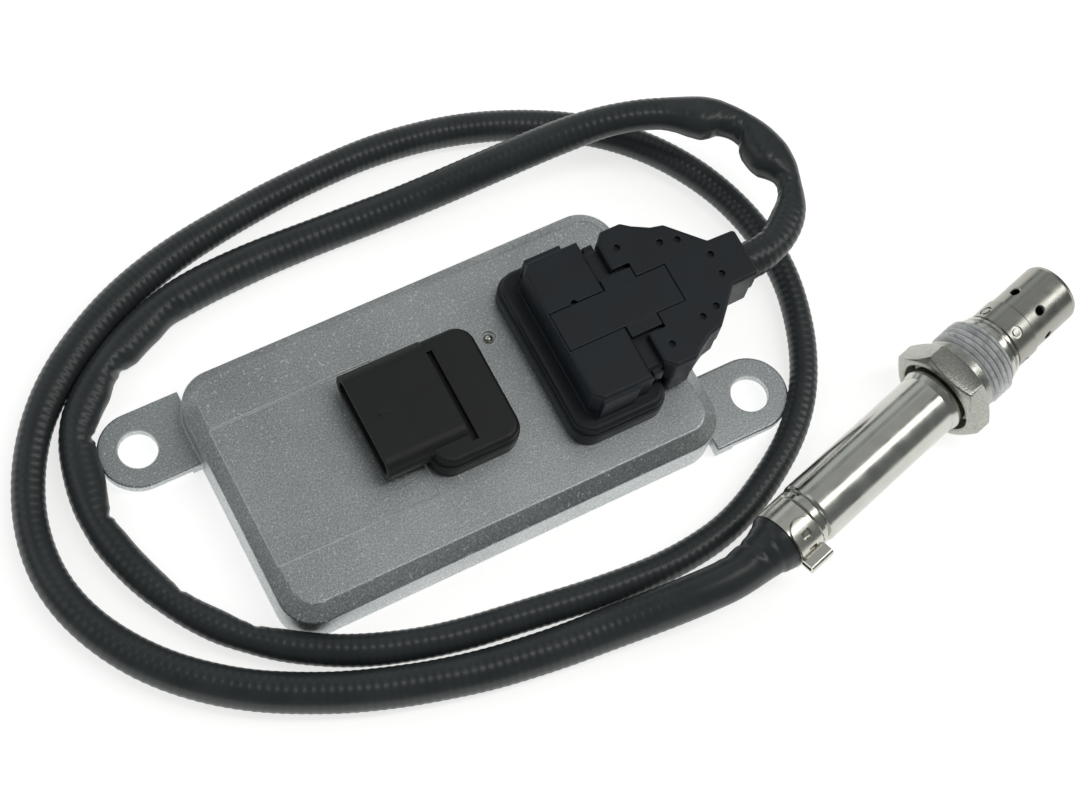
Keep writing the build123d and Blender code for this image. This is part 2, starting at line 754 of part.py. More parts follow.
def sensor_pin_roots():
    """Where the sensor header's pins enter the board, row by row."""
    x = PLUG_TIP_X - SENSOR_PIN_BACK / 2
    roots = []
    for row in range(SENSOR_PIN_ROWS):
        for column in range(SENSOR_PIN_COLUMNS):
            y = (column - (SENSOR_PIN_COLUMNS - 1) / 2) * SENSOR_PIN_PITCH
            roots.append((x - row * SENSOR_PIN_ROW_GAP, y))
    return roots


def bent_pin(root, tip_x, height, from_below):
    """A flat pin that runs level to its tip and bends down into the board."""
    x, y = root
    direction = 1 if tip_x > x else -1
    level = box_between(
        (min(tip_x, x - direction * PIN_WIDTH / 2), y - PIN_WIDTH / 2, height - PIN_THICK / 2),
        (max(tip_x, x - direction * PIN_WIDTH / 2), y + PIN_WIDTH / 2, height + PIN_THICK / 2),
    )
    leg = box_between(
        (x - PIN_WIDTH / 2, y - PIN_WIDTH / 2, from_below), (x + PIN_WIDTH / 2, y + PIN_WIDTH / 2, height)
    )
    pin = level + leg
    across = pin.edges().filter_by(Axis.Y).sort_by(Axis.X)
    tip = across[-2:] if direction > 0 else across[:2]
    return chamfer(tip, PIN_THICK * PIN_TIP_SHARE)


def vehicle_pin_height():
    """Height of the level part of the vehicle header's pins."""
    return (VEHICLE_SHROUD_BOTTOM + VEHICLE_SHROUD_TOP) / 2


def sensor_pin_heights():
    """Heights of the two rows of the sensor header's pins."""
    middle = (NECK_TOP + NECK_BOTTOM) / 2 + SENSOR_PIN_RISE
    return [middle + SENSOR_PIN_ROW_GAP / 2, middle - SENSOR_PIN_ROW_GAP / 2]


def make_vehicle_pins():
    """Five contact pins of the vehicle header."""
    below = BOARD_BOTTOM - PIN_TAIL
    height = vehicle_pin_height()
    return [bent_pin(root, VEHICLE_PIN_TIP, height, below) for root in vehicle_pin_roots()]


def make_sensor_pins():
    """Eight contact pins of the sensor header, in two rows."""
    below = BOARD_BOTTOM - PIN_TAIL
    pins = []
    for i, root in enumerate(sensor_pin_roots()):
        row = i // SENSOR_PIN_COLUMNS
        height = sensor_pin_heights()[SENSOR_PIN_ROWS - 1 - row]
        pins.append(bent_pin(root, SENSOR_PIN_TIP, height, below))
    return pins


def header_block(plan):
    """Block of a header with its stepped lower lip and softened top edge."""
    x, length, width = plan
    top = TOP_HEIGHT + BLOCK_HEIGHT
    lower = rounded_block(length, width, BLOCK_CORNER, TOP_HEIGHT, TOP_HEIGHT + BLOCK_LIP_HEIGHT, x)
    upper = rounded_block(
        length - 2 * BLOCK_LIP, width - 2 * BLOCK_LIP, BLOCK_CORNER - BLOCK_LIP, TOP_HEIGHT, top, x
    )
    upper = fillet(upper.faces().sort_by(Axis.Z)[-1].edges(), BLOCK_FILLET)
    return lower + upper


def make_vehicle_header():
    """Moulded header with a flat rounded shroud that opens towards the unit's far end."""
    plan = vehicle_centre()
    middle_y = (VEHICLE_SHROUD_FRONT + VEHICLE_SHROUD_BACK) / 2
    middle_z = vehicle_pin_height()
    width = VEHICLE_SHROUD_BACK - VEHICLE_SHROUD_FRONT
    height = VEHICLE_SHROUD_TOP - VEHICLE_SHROUD_BOTTOM
    across = Plane(origin=(VEHICLE_MOUTH_X, middle_y, middle_z), x_dir=(0, 1, 0), z_dir=(1, 0, 0))
    wall = VEHICLE_SHROUD_WALL
    rim = across * RectangleRounded(width, height, VEHICLE_SHROUD_CORNER)
    mouth = across * RectangleRounded(width - 2 * wall, height - 2 * wall, VEHICLE_SHROUD_CORNER - wall)
    outer = extrude(rim, VEHICLE_SHROUD_END - VEHICLE_MOUTH_X)
    hollow = extrude(mouth, VEHICLE_LEFT - VEHICLE_MOUTH_X + wall)
    body = header_block(plan) + spigot(plan, 0, SPIGOT_BOTTOM, TOP_HEIGHT) + outer - hollow
    top = TOP_HEIGHT + BLOCK_HEIGHT
    groove = box_between(
        (VEHICLE_SHROUD_END, -VEHICLE_GROOVE_HALF, top - VEHICLE_GROOVE_DEPTH),
        (VEHICLE_SHROUD_END + VEHICLE_GROOVE_WIDTH, VEHICLE_GROOVE_HALF, VEHICLE_SHROUD_TOP),
    )
    nib_outline = RectangleRounded(VEHICLE_NIB_LENGTH, VEHICLE_NIB_WIDTH, VEHICLE_NIB_WIDTH / 2.2)
    nib_place = Pos(VEHICLE_NIB_X, VEHICLE_NIB_Y, VEHICLE_SHROUD_TOP - VEHICLE_NIB_HEIGHT)
    nib = nib_place * extrude(nib_outline, 2 * VEHICLE_NIB_HEIGHT)
    body = body - groove + nib - seal_groove(plan, TOP_HEIGHT, TOP_HEIGHT + SEAL_THICK)
    for pin in make_vehicle_pins():
        body = body - pin
    return body


def make_header_seal(plan):
    """Rubber ring that seals a header to the housing's top."""
    return seal_groove(plan, TOP_HEIGHT, TOP_HEIGHT + SEAL_THICK)


def shroud_room():
    """Inside of the sensor header's shroud: half width, bottom and top."""
    half = SENSOR_SHROUD_HALF - SENSOR_SHROUD_WALL
    return half, NECK_BOTTOM, NECK_TOP + PLUG_CLEARANCE


def make_sensor_header():
    """Moulded header with a tall shroud, side keys and a slot for the plug's latch."""
    plan = sensor_centre()
    block_top = TOP_HEIGHT + BLOCK_HEIGHT
    body = header_block(plan) + spigot(plan, 0, SPIGOT_BOTTOM, TOP_HEIGHT)
    foot = block_top - BLOCK_LIP_HEIGHT / 4
    low = (SENSOR_SHROUD_X, -SENSOR_SHROUD_HALF, foot)
    shroud = box_between(low, (SENSOR_SHROUD_END, SENSOR_SHROUD_HALF, PLUG_TOP))
    upright = shroud.edges().filter_by(Axis.Z).sort_by(Axis.X)[:2]
    shroud = chamfer(upright, SENSOR_SHROUD_CHAMFER)
    shroud = fillet(shroud.faces().sort_by(Axis.Z)[-1].edges(), SENSOR_SHROUD_FILLET)
    body = body + shroud
    for side in (-1, 1):
        root = side * (SENSOR_SHROUD_HALF - SENSOR_SHROUD_WALL / 2)
        inner, outer = sorted((root, side * (SENSOR_SHROUD_HALF + SENSOR_KEY_THICK)))
        high = (SENSOR_KEY_START + SENSOR_KEY_LENGTH, outer, PLUG_TOP - SENSOR_KEY_DROP)
        body = body + box_between((SENSOR_KEY_START, inner, foot), high)
    half, floor, roof = shroud_room()
    room = box_between((PLUG_TIP_X - PLUG_CLEARANCE, -half, floor), (SENSOR_RIGHT + 1, half, roof))
    slot_half = LATCH_HALF + SLOT_CLEARANCE
    slot_low = (SENSOR_SHROUD_X + SENSOR_SLOT_WALL, -slot_half, PLUG_TOP - LATCH_THICK - PLUG_CLEARANCE)
    slot = box_between(slot_low, (SENSOR_RIGHT, slot_half, PLUG_TOP + 1))
    nick_place = Pos(SENSOR_NICK_X, slot_half, PLUG_TOP - LATCH_THICK)
    nick = nick_place * extrude(Circle(SENSOR_NICK / 2), LATCH_THICK + 1)
    body = body - room - slot - nick - seal_groove(plan, TOP_HEIGHT, TOP_HEIGHT + SEAL_THICK)
    for pin in make_sensor_pins():
        body = body - pin
    return body


def neck_outline():
    """Section of the plug's neck that slides into the shroud."""
    half, floor, roof = shroud_room()
    return half - PLUG_CLEARANCE, floor + PLUG_CLEARANCE, NECK_TOP


def make_plug_housing():
    """Plug moulding: contact block, neck and the flat latch tongue on top of it."""
    half, floor, roof = neck_outline()
    core = box_between((PLUG_TIP_X, -half, floor), (SENSOR_SHROUD_END, half, roof))
    neck = box_between((SENSOR_SHROUD_END, -NECK_HALF, floor), (NECK_END, NECK_HALF, NECK_TOP))
    neck = chamfer(neck.edges().filter_by(Axis.X), NECK_CHAMFER)
    latch_bottom = PLUG_TOP - LATCH_THICK
    tongue_x = SENSOR_SHROUD_X + SENSOR_SLOT_WALL + SLOT_CLEARANCE
    tongue = box_between((tongue_x, -LATCH_HALF, latch_bottom), (LATCH_END, LATCH_HALF, PLUG_TOP))
    tongue = fillet(tongue.faces().sort_by(Axis.Z)[-1].edges(), LATCH_FILLET)
    start = SENSOR_SHROUD_END + PLUG_CLEARANCE
    shoulder_top = PLUG_TOP - LATCH_FILLET
    shoulders = box_between(
        (start, -LATCH_SHOULDER, latch_bottom), (LATCH_SHOULDER_END, LATCH_SHOULDER, shoulder_top)
    )
    low = (start, -LATCH_HALF, NECK_TOP - NECK_CHAMFER / 2)
    bridge = box_between(low, (NECK_END, LATCH_HALF, latch_bottom))
    body = core + neck + tongue + shoulders + bridge
    key_reach = NECK_HALF + NECK_KEY_THICK
    key_low = (NECK_KEY_START, -key_reach, NECK_TOP - NECK_CHAMFER - NECK_KEY_HEIGHT)
    body = body + box_between(key_low, (NECK_KEY_END, key_reach, NECK_TOP - NECK_CHAMFER))
    for (x, y), height in sensor_cavities():
        low = (PLUG_TIP_X, y - CAVITY_HALF, height - CAVITY_HALF)
        cavity = box_between(low, (NECK_END, y + CAVITY_HALF, height + CAVITY_HALF))
        body = body - cavity
    return body - plug_seal_ring()


def sensor_cavities():
    """Each of the plug's contact cavities: place in plan and height."""
    cavities = []
    for i, (x, y) in enumerate(sensor_pin_roots()):
        row = i // SENSOR_PIN_COLUMNS
        cavities.append(((x, y), sensor_pin_heights()[SENSOR_PIN_ROWS - 1 - row]))
    return cavities


def plug_seal_ring():
    """Ring round the plug's contact block: the seal and the groove that it lies in."""
    half, floor, roof = neck_outline()
    deep = PLUG_SEAL_DEPTH
    end = PLUG_SEAL_X + PLUG_SEAL_WIDTH
    outer = box_between((PLUG_SEAL_X, -half, floor), (end, half, roof))
    inner = box_between((PLUG_SEAL_X, -half + deep, floor + deep), (end, half - deep, roof - deep))
    return outer - inner


def make_plug_terminals():
    """Eight crimped contacts in the plug, open for the pins at one end and the wires at the other."""
    terminals = []
    for (x, y), height in sensor_cavities():
        low = (TERMINAL_FRONT, y - TERMINAL_HALF, height - TERMINAL_HALF)
        tube = box_between(low, (TERMINAL_REAR, y + TERMINAL_HALF, height + TERMINAL_HALF))
        side = PIN_WIDTH / 2 + THREAD_FIT
        rise = PIN_THICK / 2 + THREAD_FIT
        bore = box_between(
            (TERMINAL_FRONT, y - side, height - rise), (SENSOR_PIN_TIP + PIN_THICK, y + side, height + rise)
        )
        terminals.append(tube - bore)
    return terminals


def backshell_outline(inset=0.0):
    """Plan of the backshell: square shoulders, a small step, then a taper to the cable."""
    outline = (
        (SHELL_FRONT + inset, SHELL_FRONT_HALF),
        (SHELL_SHOULDER_START, SHELL_SHOULDER_HALF),
        (SHELL_SHOULDER_END, SHELL_SHOULDER_HALF),
        (SHELL_WAIST_START, SHELL_WAIST_START_HALF),
        (SHELL_WAIST_END, SHELL_WAIST_END_HALF),
        (SHELL_TAPER_START, SHELL_TAPER_START_HALF),
        (SHELL_TAPER_END, SHELL_TAPER_END_HALF),
        (SHELL_END - inset, SHELL_EXIT_HALF),
    )
    upper = [(x, half - inset) for x, half in outline]
    lower = [(x, -y) for x, y in reversed(upper)]
    return make_face(Polyline(*(upper + lower), close=True))


def backshell_half(inset, bottom, top):
    """Outside of one half of the backshell."""
    half = extrude(Pos(0, 0, bottom) * backshell_outline(inset), top - bottom)
    return fillet(half.edges().filter_by(Axis.Z), SHELL_CORNER)


def backshell_rooms():
    """Everything that is cut from the backshell: its inside, the exit, and room for the plug."""
    inside_bottom = SHELL_BOTTOM + SHELL_WALL
    inside_height = PLUG_TOP - SHELL_WALL - inside_bottom
    rooms = [extrude(Pos(0, 0, inside_bottom) * backshell_outline(SHELL_WALL), inside_height)]
    exit_place = Pos(SHELL_END - GROMMET_LENGTH, 0, CABLE_AXIS_HEIGHT) * Rot(0, 90, 0)
    rooms.append(exit_place * extrude(Circle(GROMMET_COLLAR / 2), GROMMET_LENGTH + 1))
    half, floor, roof = neck_outline()
    gap = PLUG_CLEARANCE
    front = SHELL_FRONT - 1
    neck_half = NECK_HALF + gap
    rooms.append(box_between((front, -neck_half, floor - gap), (NECK_END + gap, neck_half, NECK_TOP + gap)))
    block_end = SENSOR_RIGHT + BLOCK_CLEARANCE
    block_top = TOP_HEIGHT + BLOCK_HEIGHT + BLOCK_CLEARANCE
    rooms.append(box_between((front, -SENSOR_HALF, SHELL_BOTTOM - 1), (block_end, SENSOR_HALF, block_top)))
    cut = SHELL_CUTOUT_HALF
    low = (front, -cut, NECK_TOP - NECK_CHAMFER / 2)
    rooms.append(box_between(low, (LATCH_SHOULDER_END + gap, cut, PLUG_TOP + 1)))
    side = LATCH_HALF + SLOT_CLEARANCE
    low = (front, -side, PLUG_TOP - LATCH_THICK - gap)
    rooms.append(box_between(low, (LATCH_END + SLOT_CLEARANCE, side, PLUG_TOP + 1)))
    return rooms


def make_backshells():
    """Upper and lower half of the backshell, parted at the cable's axis."""
    upper = backshell_half(0, CABLE_AXIS_HEIGHT, PLUG_TOP)
    upper = fillet(upper.faces().sort_by(Axis.Z)[-1].edges(), SHELL_TOP_FILLET)
    lower = backshell_half(SHELL_LOWER_INSET, SHELL_BOTTOM, CABLE_AXIS_HEIGHT)
    lower = fillet(lower.faces().sort_by(Axis.Z)[0].edges(), SHELL_TOP_FILLET)
    for room in backshell_rooms():
        upper = upper - room
        lower = lower - room
    for x, y in SHELL_HOLE_PLACES:
        for side in (-1, 1):
            drill = extrude(Circle(SHELL_HOLE / 2), 2 * SHELL_HOLE_DEPTH)
            upper = upper - Pos(x, side * y, PLUG_TOP - SHELL_HOLE_DEPTH) * drill
    return upper, lower


def make_cable_grommet():
    """Rubber grommet that grips the cable's wires in the backshell's exit."""
    collar = Circle(GROMMET_COLLAR / 2 - THREAD_FIT)
    start = Pos(SHELL_END - GROMMET_LENGTH, 0, CABLE_AXIS_HEIGHT) * Rot(0, 90, 0)
    body = start * extrude(collar, GROMMET_LENGTH)
    for i in range(WIRE_COUNT):
        wire = Pos(WIRE_RING, 0, 0) * extrude(Circle(WIRE_DIAMETER / 2), GROMMET_LENGTH)
        body = body - start * Rot(0, 0, 360 * i / WIRE_COUNT) * wire
    return body


def make_plug_wires():
    """Eight wires from the contacts to the grommet, each in straight runs."""
    wires = []
    start_x = TERMINAL_REAR
    gather_x = SHELL_END - GROMMET_LENGTH
    for i, ((x, y), height) in enumerate(sensor_cavities()):
        turn = math.radians(360 * i / WIRE_COUNT)
        side = WIRE_RING * math.sin(turn)
        target = (gather_x, side, CABLE_AXIS_HEIGHT - WIRE_RING * math.cos(turn))
        straight = (start_x + WIRE_STRAIGHT, y, height)
        gathered = (gather_x - WIRE_STRAIGHT, target[1], target[2])
        path = FilletPolyline((start_x, y, height), straight, gathered, target, radius=WIRE_BEND)
        section = Plane(origin=path @ 0, z_dir=path % 0) * Circle(WIRE_DIAMETER / 2)
        wires.append(sweep(section, path))
    return wires


def probe_point(station):
    """A point on the probe's axis, in the part's frame."""
    turn = math.radians(PROBE_TURN)
    return (
        PROBE_X + station * math.cos(turn),
        PROBE_Y + station * math.sin(turn),
        NUT_ACROSS_FLATS / 2,
    )


def cable_points():
    """The whole route, ending in line with the probe."""
    return CABLE_ROUTE + [probe_point(BOOT_REAR - CABLE_LEAD_IN), probe_point(BOOT_REAR)]


def bend_radii(points):
    """Radius of each bend: as large as its two runs allow."""
    radii = []
    for before, here, after in zip(points, points[1:], points[2:]):
        a = Vector(*here) - Vector(*before)
        b = Vector(*after) - Vector(*here)
        turn = math.radians(a.get_angle(b))
        radii.append(BEND_SHARE * min(a.length, b.length) / math.tan(turn / 2))
    return radii


def make_cable():
    """The cable's outer tube along its whole route."""
    points = cable_points()
    radii = bend_radii(points)
    path = FilletPolyline(*points, radius=radii)
    section = Plane(origin=path @ 0, z_dir=path % 0) * Circle(CABLE_DIAMETER / 2)
    tube = sweep(section, path)
    print("cable length", round(path.length, 1), "smallest bend", round(min(radii), 1))
    print("bend radii", [round(r) for r in radii])
    plain = math.pi * (CABLE_DIAMETER / 2) ** 2 * path.length
    print("volume over section x length", round(tube.volume / plain, 4))
    return tube


def make_boot():
    """Rubber boot from the cable over the probe's nipple, under the clamp."""
    boot = turned(
        [
            (0, BOOT_REAR),
            (BOOT_REAR_DIAMETER / 2, BOOT_REAR),
            (BOOT_FRONT_DIAMETER / 2, BOOT_TAPER_END),
            (BOOT_FRONT_DIAMETER / 2, BOOT_FRONT),
            (0, BOOT_FRONT),
        ]
    )
    nipple = NIPPLE_DIAMETER / 2
    return boot - turned([(0, NIPPLE_REAR), (nipple, NIPPLE_REAR), (nipple, BOOT_FRONT), (0, BOOT_FRONT)])


def strip_ring(inner, outer):
    """A plain ring as wide as the clamp's strip."""
    rear = CLAMP_FRONT - CLAMP_WIDTH
    return turned([(inner, rear), (outer, rear), (outer, CLAMP_FRONT), (inner, CLAMP_FRONT)])


def make_clamp():
    """Ear clamp: a band, the lap plate with its hook on top, and the squeezed ear."""
    inner = BOOT_FRONT_DIAMETER / 2
    outer = inner + CLAMP_THICK
    rear = CLAMP_FRONT - CLAMP_WIDTH
    middle = (rear + CLAMP_FRONT) / 2
    outline = RectangleRounded(CLAMP_WIDTH, CLAMP_LAP_LENGTH, CLAMP_LAP_CORNER)
    over = Pos(-outer - CLAMP_THICK, 0, middle) * Rot(0, 90, 0)
    lap = strip_ring(inner, outer + CLAMP_THICK) & (over * extrude(outline, outer))
    opening = RectangleRounded(CLAMP_WINDOW_LENGTH, CLAMP_WINDOW_WIDTH, CLAMP_WINDOW_WIDTH / 4)
    hook = Rectangle(CLAMP_HOOK, CLAMP_HOOK)
    window = Pos(0, CLAMP_WINDOW_OFFSET, 0) * (opening - hook)
    slot = Pos(0, CLAMP_SLOT_OFFSET, 0) * Rectangle(CLAMP_SLOT_LENGTH, CLAMP_SLOT_WIDTH)
    lap = lap - over * extrude(window, outer) - over * extrude(slot, outer)
    lap = Rot(0, 0, CLAMP_LAP_ANGLE) * lap
    half = CLAMP_EAR_WIDTH / 2
    crown = outer + CLAMP_EAR_HEIGHT
    loop = box_between((-half, 0, rear), (half, crown, CLAMP_FRONT))
    loop = fillet(loop.edges().filter_by(Axis.Z).sort_by(Axis.Y)[-2:], half * CLAMP_EAR_ROUND)
    room_half = half - CLAMP_THICK
    room = box_between((-room_half, 0, rear), (room_half, crown - CLAMP_THICK, CLAMP_FRONT))
    core = turned([(0, rear), (inner, rear), (inner, CLAMP_FRONT), (0, CLAMP_FRONT)])
    ear_loop = Rot(0, 0, CLAMP_EAR_ANGLE) * (loop - room - core)
    return strip_ring(inner, outer) + lap + ear_loop


def make_rear_tube():
    """Stainless rear tube with its rolled rear end, nipple and flared front."""
    outer = TUBE_DIAMETER / 2
    inner = outer - TUBE_WALL
    nipple = NIPPLE_DIAMETER / 2
    bead = BEAD_DIAMETER / 2
    groove = TUBE_GROOVE / 2
    profile = [
        (nipple - TUBE_WALL, NIPPLE_REAR),
        (nipple, NIPPLE_REAR),
        (nipple, BEAD_REAR),
        (bead - BEAD_ROUND, BEAD_REAR),
        (bead, BEAD_REAR + BEAD_ROUND),
        (bead, BEAD_FRONT - BEAD_ROUND),
        (groove, BEAD_FRONT),
        (groove, TUBE_REAR),
        (outer - TUBE_END_ROUND, TUBE_REAR),
        (outer - TUBE_END_ROUND * 0.3, TUBE_REAR + TUBE_END_ROUND * 0.3),
        (outer, TUBE_REAR + TUBE_END_ROUND),
        (outer, TUBE_FRONT - 6 * TUBE_FLARE),
        (outer + TUBE_FLARE, TUBE_FRONT - 3 * TUBE_FLARE),
        (outer + TUBE_FLARE, TUBE_FRONT),
        (inner, TUBE_FRONT),
        (inner, TUBE_REAR + TUBE_ROLL),
        (nipple - TUBE_WALL, TUBE_REAR + TUBE_ROLL / 2),
    ]
    return turned(profile)


def make_sensor_shell():
    """Turned steel body with the rear spigot, running diameter and sealing seat."""
    bore = SHELL_BORE / 2
    body = SHELL_BODY_DIAMETER / 2
    seat = SEAT_DIAMETER / 2
    groove = SEAT_GROOVE / 2
    bead = SEAT_BEAD / 2
    spigot_radius = TUBE_DIAMETER / 2 - TUBE_WALL
    front = SHELL_FRONT_STATION
    seat_rear = NUT_FRONT + NUT_SEAT_GAP
    seat_front = seat_rear + SEAT_THICK
    profile = [
        (bore, TUBE_FRONT - SHELL_SPIGOT_LENGTH),
        (spigot_radius, TUBE_FRONT - SHELL_SPIGOT_LENGTH),
        (spigot_radius, TUBE_FRONT),
        (TUBE_DIAMETER / 2, TUBE_FRONT),
        (TUBE_DIAMETER / 2, TUBE_FRONT + SHELL_SHOULDER),
        (body, TUBE_FRONT + SHELL_SHOULDER + SHELL_TRANSITION),
        (body, seat_rear),
        (seat, seat_rear),
        (seat, seat_rear + SEAT_THICK / 2),
        (groove, seat_front - SEAT_BEAD_START),
        (groove, seat_front),
        (bead, seat_front + SEAT_BEAD_START),
        (bead, seat_front + SEAT_BEAD_END),
        (CAP_REAR_DIAMETER / 2 - CAP_WALL, seat_front + SEAT_STEP),
        (CAP_REAR_DIAMETER / 2 - CAP_WALL, front + CAP_SPIGOT_LENGTH),
        (bore, front + CAP_SPIGOT_LENGTH),
    ]
    return turned(profile)


def make_union_nut():
    """Captive union nut: chamfered hexagon, relief and threaded barrel."""
    bore = SHELL_BODY_DIAMETER / 2 + NUT_RUNNING_GAP
    hex_front = NUT_REAR + NUT_HEX_LENGTH
    corner = NUT_ACROSS_FLATS / 2 / math.cos(math.radians(30))
    flat = NUT_ACROSS_FLATS / 2
    hexagon = Pos(0, 0, NUT_REAR) * extrude(
        RegularPolygon(flat, 6, major_radius=False, rotation=30), NUT_HEX_LENGTH
    )
    face = flat - NUT_FACE_INSET
    drop = (corner - face) * math.tan(math.radians(30))
    envelope = turned(
        [
            (0, NUT_REAR),
            (face, NUT_REAR),
            (corner, NUT_REAR + drop),
            (corner, hex_front - drop),
            (face, hex_front),
            (0, hex_front),
        ]
    )
    root = THREAD_MAJOR / 2 - THREAD_DEPTH
    barrel = turned(
        [
            (0, hex_front),
            (root, hex_front),
            (root, hex_front + NUT_RELIEF),
            (THREAD_MAJOR / 2, hex_front + NUT_RELIEF + NUT_CHAMFER / 2),
            (THREAD_MAJOR / 2, NUT_FRONT - NUT_CHAMFER),
            (THREAD_MAJOR / 2 - NUT_CHAMFER, NUT_FRONT),
            (0, NUT_FRONT),
        ]
    )
    recess = turned(
        [
            (0, NUT_REAR),
            (NUT_RECESS / 2, NUT_REAR),
            (NUT_RECESS / 2, NUT_REAR + NUT_RECESS_DEPTH),
            (bore, NUT_REAR + NUT_RECESS_DEPTH + NUT_RECESS_TAPER),
            (bore, NUT_FRONT),
            (0, NUT_FRONT),
        ]
    )
    return (hexagon & envelope) + barrel - recess


def cap_hole(diameter, station, angle, reach):
    """Radial drill for a vent in a cap."""
    drill = Pos(0, 0, station) * Rot(0, -90, 0) * extrude(Circle(diameter / 2), reach)
    return Rot(0, 0, angle) * drill


def vent_rim(radius):
    """Shallow cone that softens a vent's edge on a wall of the given outer radius."""
    small = CAP_VENT / 2
    rim = Cone(small, small + 2 * VENT_RIM, 2 * VENT_RIM_DEPTH)
    return Pos(-radius, 0, CAP_VENT_STATION) * Rot(0, -90, 0) * rim


def make_outer_cap():
    """Deep drawn outer cap with a step, vents, crimp dimples and an outlet in its tip."""
    rear = CAP_REAR_DIAMETER / 2
    front = CAP_DIAMETER / 2
    wall = CAP_WALL
    profile = [
        (rear - wall, CAP_REAR),
        (rear, CAP_REAR),
        (rear, CAP_STEP - CAP_STEP_LENGTH),
        (front, CAP_STEP),
        (front, CAP_TIP - CAP_EDGE),
        (front - CAP_EDGE * 0.3, CAP_TIP - CAP_EDGE * 0.3),
        (front - CAP_EDGE, CAP_TIP),
        (CAP_OUTLET / 2, CAP_TIP),
        (CAP_OUTLET / 2, CAP_TIP - wall),
        (front - CAP_EDGE, CAP_TIP - wall),
        (front - wall, CAP_TIP - CAP_EDGE),
        (front - wall, CAP_STEP),
        (rear - wall, CAP_STEP - CAP_STEP_LENGTH),
    ]
    cap = turned(profile)
    for i in range(CAP_VENT_COUNT):
        angle = VENT_START_ANGLE + 360 * i / CAP_VENT_COUNT
        cap = cap - cap_hole(CAP_VENT, CAP_VENT_STATION, angle, rear + 1)
        cap = cap - Rot(0, 0, angle) * vent_rim(front)
    ring = Circle(DIMPLE_DIAMETER / 2) - Circle(DIMPLE_CENTRE / 2)
    ring_place = Pos(-rear + DIMPLE_DEPTH, 0, DIMPLE_STATION) * Rot(0, -90, 0)
    for i in range(DIMPLE_COUNT):
        angle = VENT_START_ANGLE + 360 * i / DIMPLE_COUNT
        cap = cap - Rot(0, 0, angle) * ring_place * extrude(ring, 2 * DIMPLE_DEPTH)
    return cap


def make_inner_cap():
    """Inner protection cap that guides the gas to the sensing tip."""
    outer = INNER_CAP_DIAMETER / 2
    wall = CAP_WALL
    outlet = INNER_CAP_OUTLET / 2
    flange = CAP_REAR_DIAMETER / 2 - wall
    start = SHELL_FRONT_STATION + CAP_SPIGOT_LENGTH
    profile = [
        (outer - wall, start),
        (flange, start),
        (flange, start + wall),
        (outer, start + wall),
        (outer, INNER_CAP_TIP - INNER_CAP_EDGE),
        (outer - INNER_CAP_EDGE, INNER_CAP_TIP),
        (outlet, INNER_CAP_TIP),
        (outlet, INNER_CAP_TIP - wall),
        (outer - INNER_CAP_EDGE, INNER_CAP_TIP - wall),
        (outer - wall, INNER_CAP_TIP - INNER_CAP_EDGE),
    ]
    cap = turned(profile)
    for i in range(CAP_VENT_COUNT):
        angle = VENT_START_ANGLE + 360 * (i + 0.5) / CAP_VENT_COUNT
        cap = cap - cap_hole(INNER_CAP_VENT, INNER_CAP_VENT_STATION, angle, outer + 1)
    return cap


def element_box(rear, front, clearance=0.0):
    """The flat ceramic bar, or the slot that it passes through."""
    half_thick = ELEMENT_THICK / 2 + clearance
    half_width = ELEMENT_WIDTH / 2 + clearance
    return box_between((-half_thick, -half_width, rear), (half_thick, half_width, front))


def ceramic_ring(rear, front, radius):
    """A ceramic bush round the sensing element."""
    bush = turned([(0, rear), (radius, rear), (radius, front), (0, front)])
    return bush - element_box(rear, front, INSULATOR_FIT)


def insulator_stations():
    """Where the rear insulator, the powder and the front insulator start and end."""
    rear = TUBE_FRONT - INSULATOR_SET_BACK
    powder = rear + REAR_INSULATOR_LENGTH
    front = powder + POWDER_LENGTH
    return rear, powder, front, SHELL_FRONT_STATION + CAP_SPIGOT_LENGTH


def make_contact_holder():
    """Split ceramic holder that presses the contacts on the element."""
    radius = HOLDER_DIAMETER / 2
    body = turned(
        [
            (0, HOLDER_REAR),
            (radius, HOLDER_REAR),
            (radius, HOLDER_FRONT - 2 * HOLDER_CHAMFER),
            (radius - HOLDER_CHAMFER, HOLDER_FRONT),
            (0, HOLDER_FRONT),
        ]
    )
    reach = ELEMENT_THICK / 2 + CONTACT_THICK + INSULATOR_FIT
    side = ELEMENT_WIDTH / 2 + 2 * INSULATOR_FIT
    slot = box_between((-reach, -side, HOLDER_REAR), (reach, side, HOLDER_FRONT))
    return body - slot


def make_contacts():
    """Spring contacts on both faces of the element."""
    contacts = []
    pitch = ELEMENT_WIDTH / CONTACT_COUNT
    for side in (-1, 1):
        for i in range(CONTACT_COUNT):
            y = (i - (CONTACT_COUNT - 1) / 2) * pitch
            inner = side * ELEMENT_THICK / 2
            outer = side * (ELEMENT_THICK / 2 + CONTACT_THICK)
            low, high = sorted((inner, outer))
            rear = (low, y - CONTACT_WIDTH / 2, HOLDER_REAR - CONTACT_TAIL)
            front = (high, y + CONTACT_WIDTH / 2, HOLDER_FRONT - CONTACT_TAIL)
            contacts.append(box_between(rear, front))
    return contacts


def lead_angle(i):
    """Angle of one lead in the probe's rear grommet."""
    return 360.0 * (i + 0.5) / WIRE_COUNT


def make_probe_grommet():
    """Heat proof grommet crimped in the rear of the tube, with a hole for each lead."""
    radius = TUBE_DIAMETER / 2 - TUBE_WALL
    rear = TUBE_REAR + TUBE_ROLL
    front = rear + REAR_GROMMET_LENGTH
    body = turned([(0, rear), (radius, rear), (radius, front), (0, front)])
    for i in range(WIRE_COUNT):
        hole = extrude(Circle(WIRE_DIAMETER / 2), REAR_GROMMET_LENGTH)
        body = body - Rot(0, 0, lead_angle(i)) * Pos(WIRE_RING, 0, rear) * hole
    return body


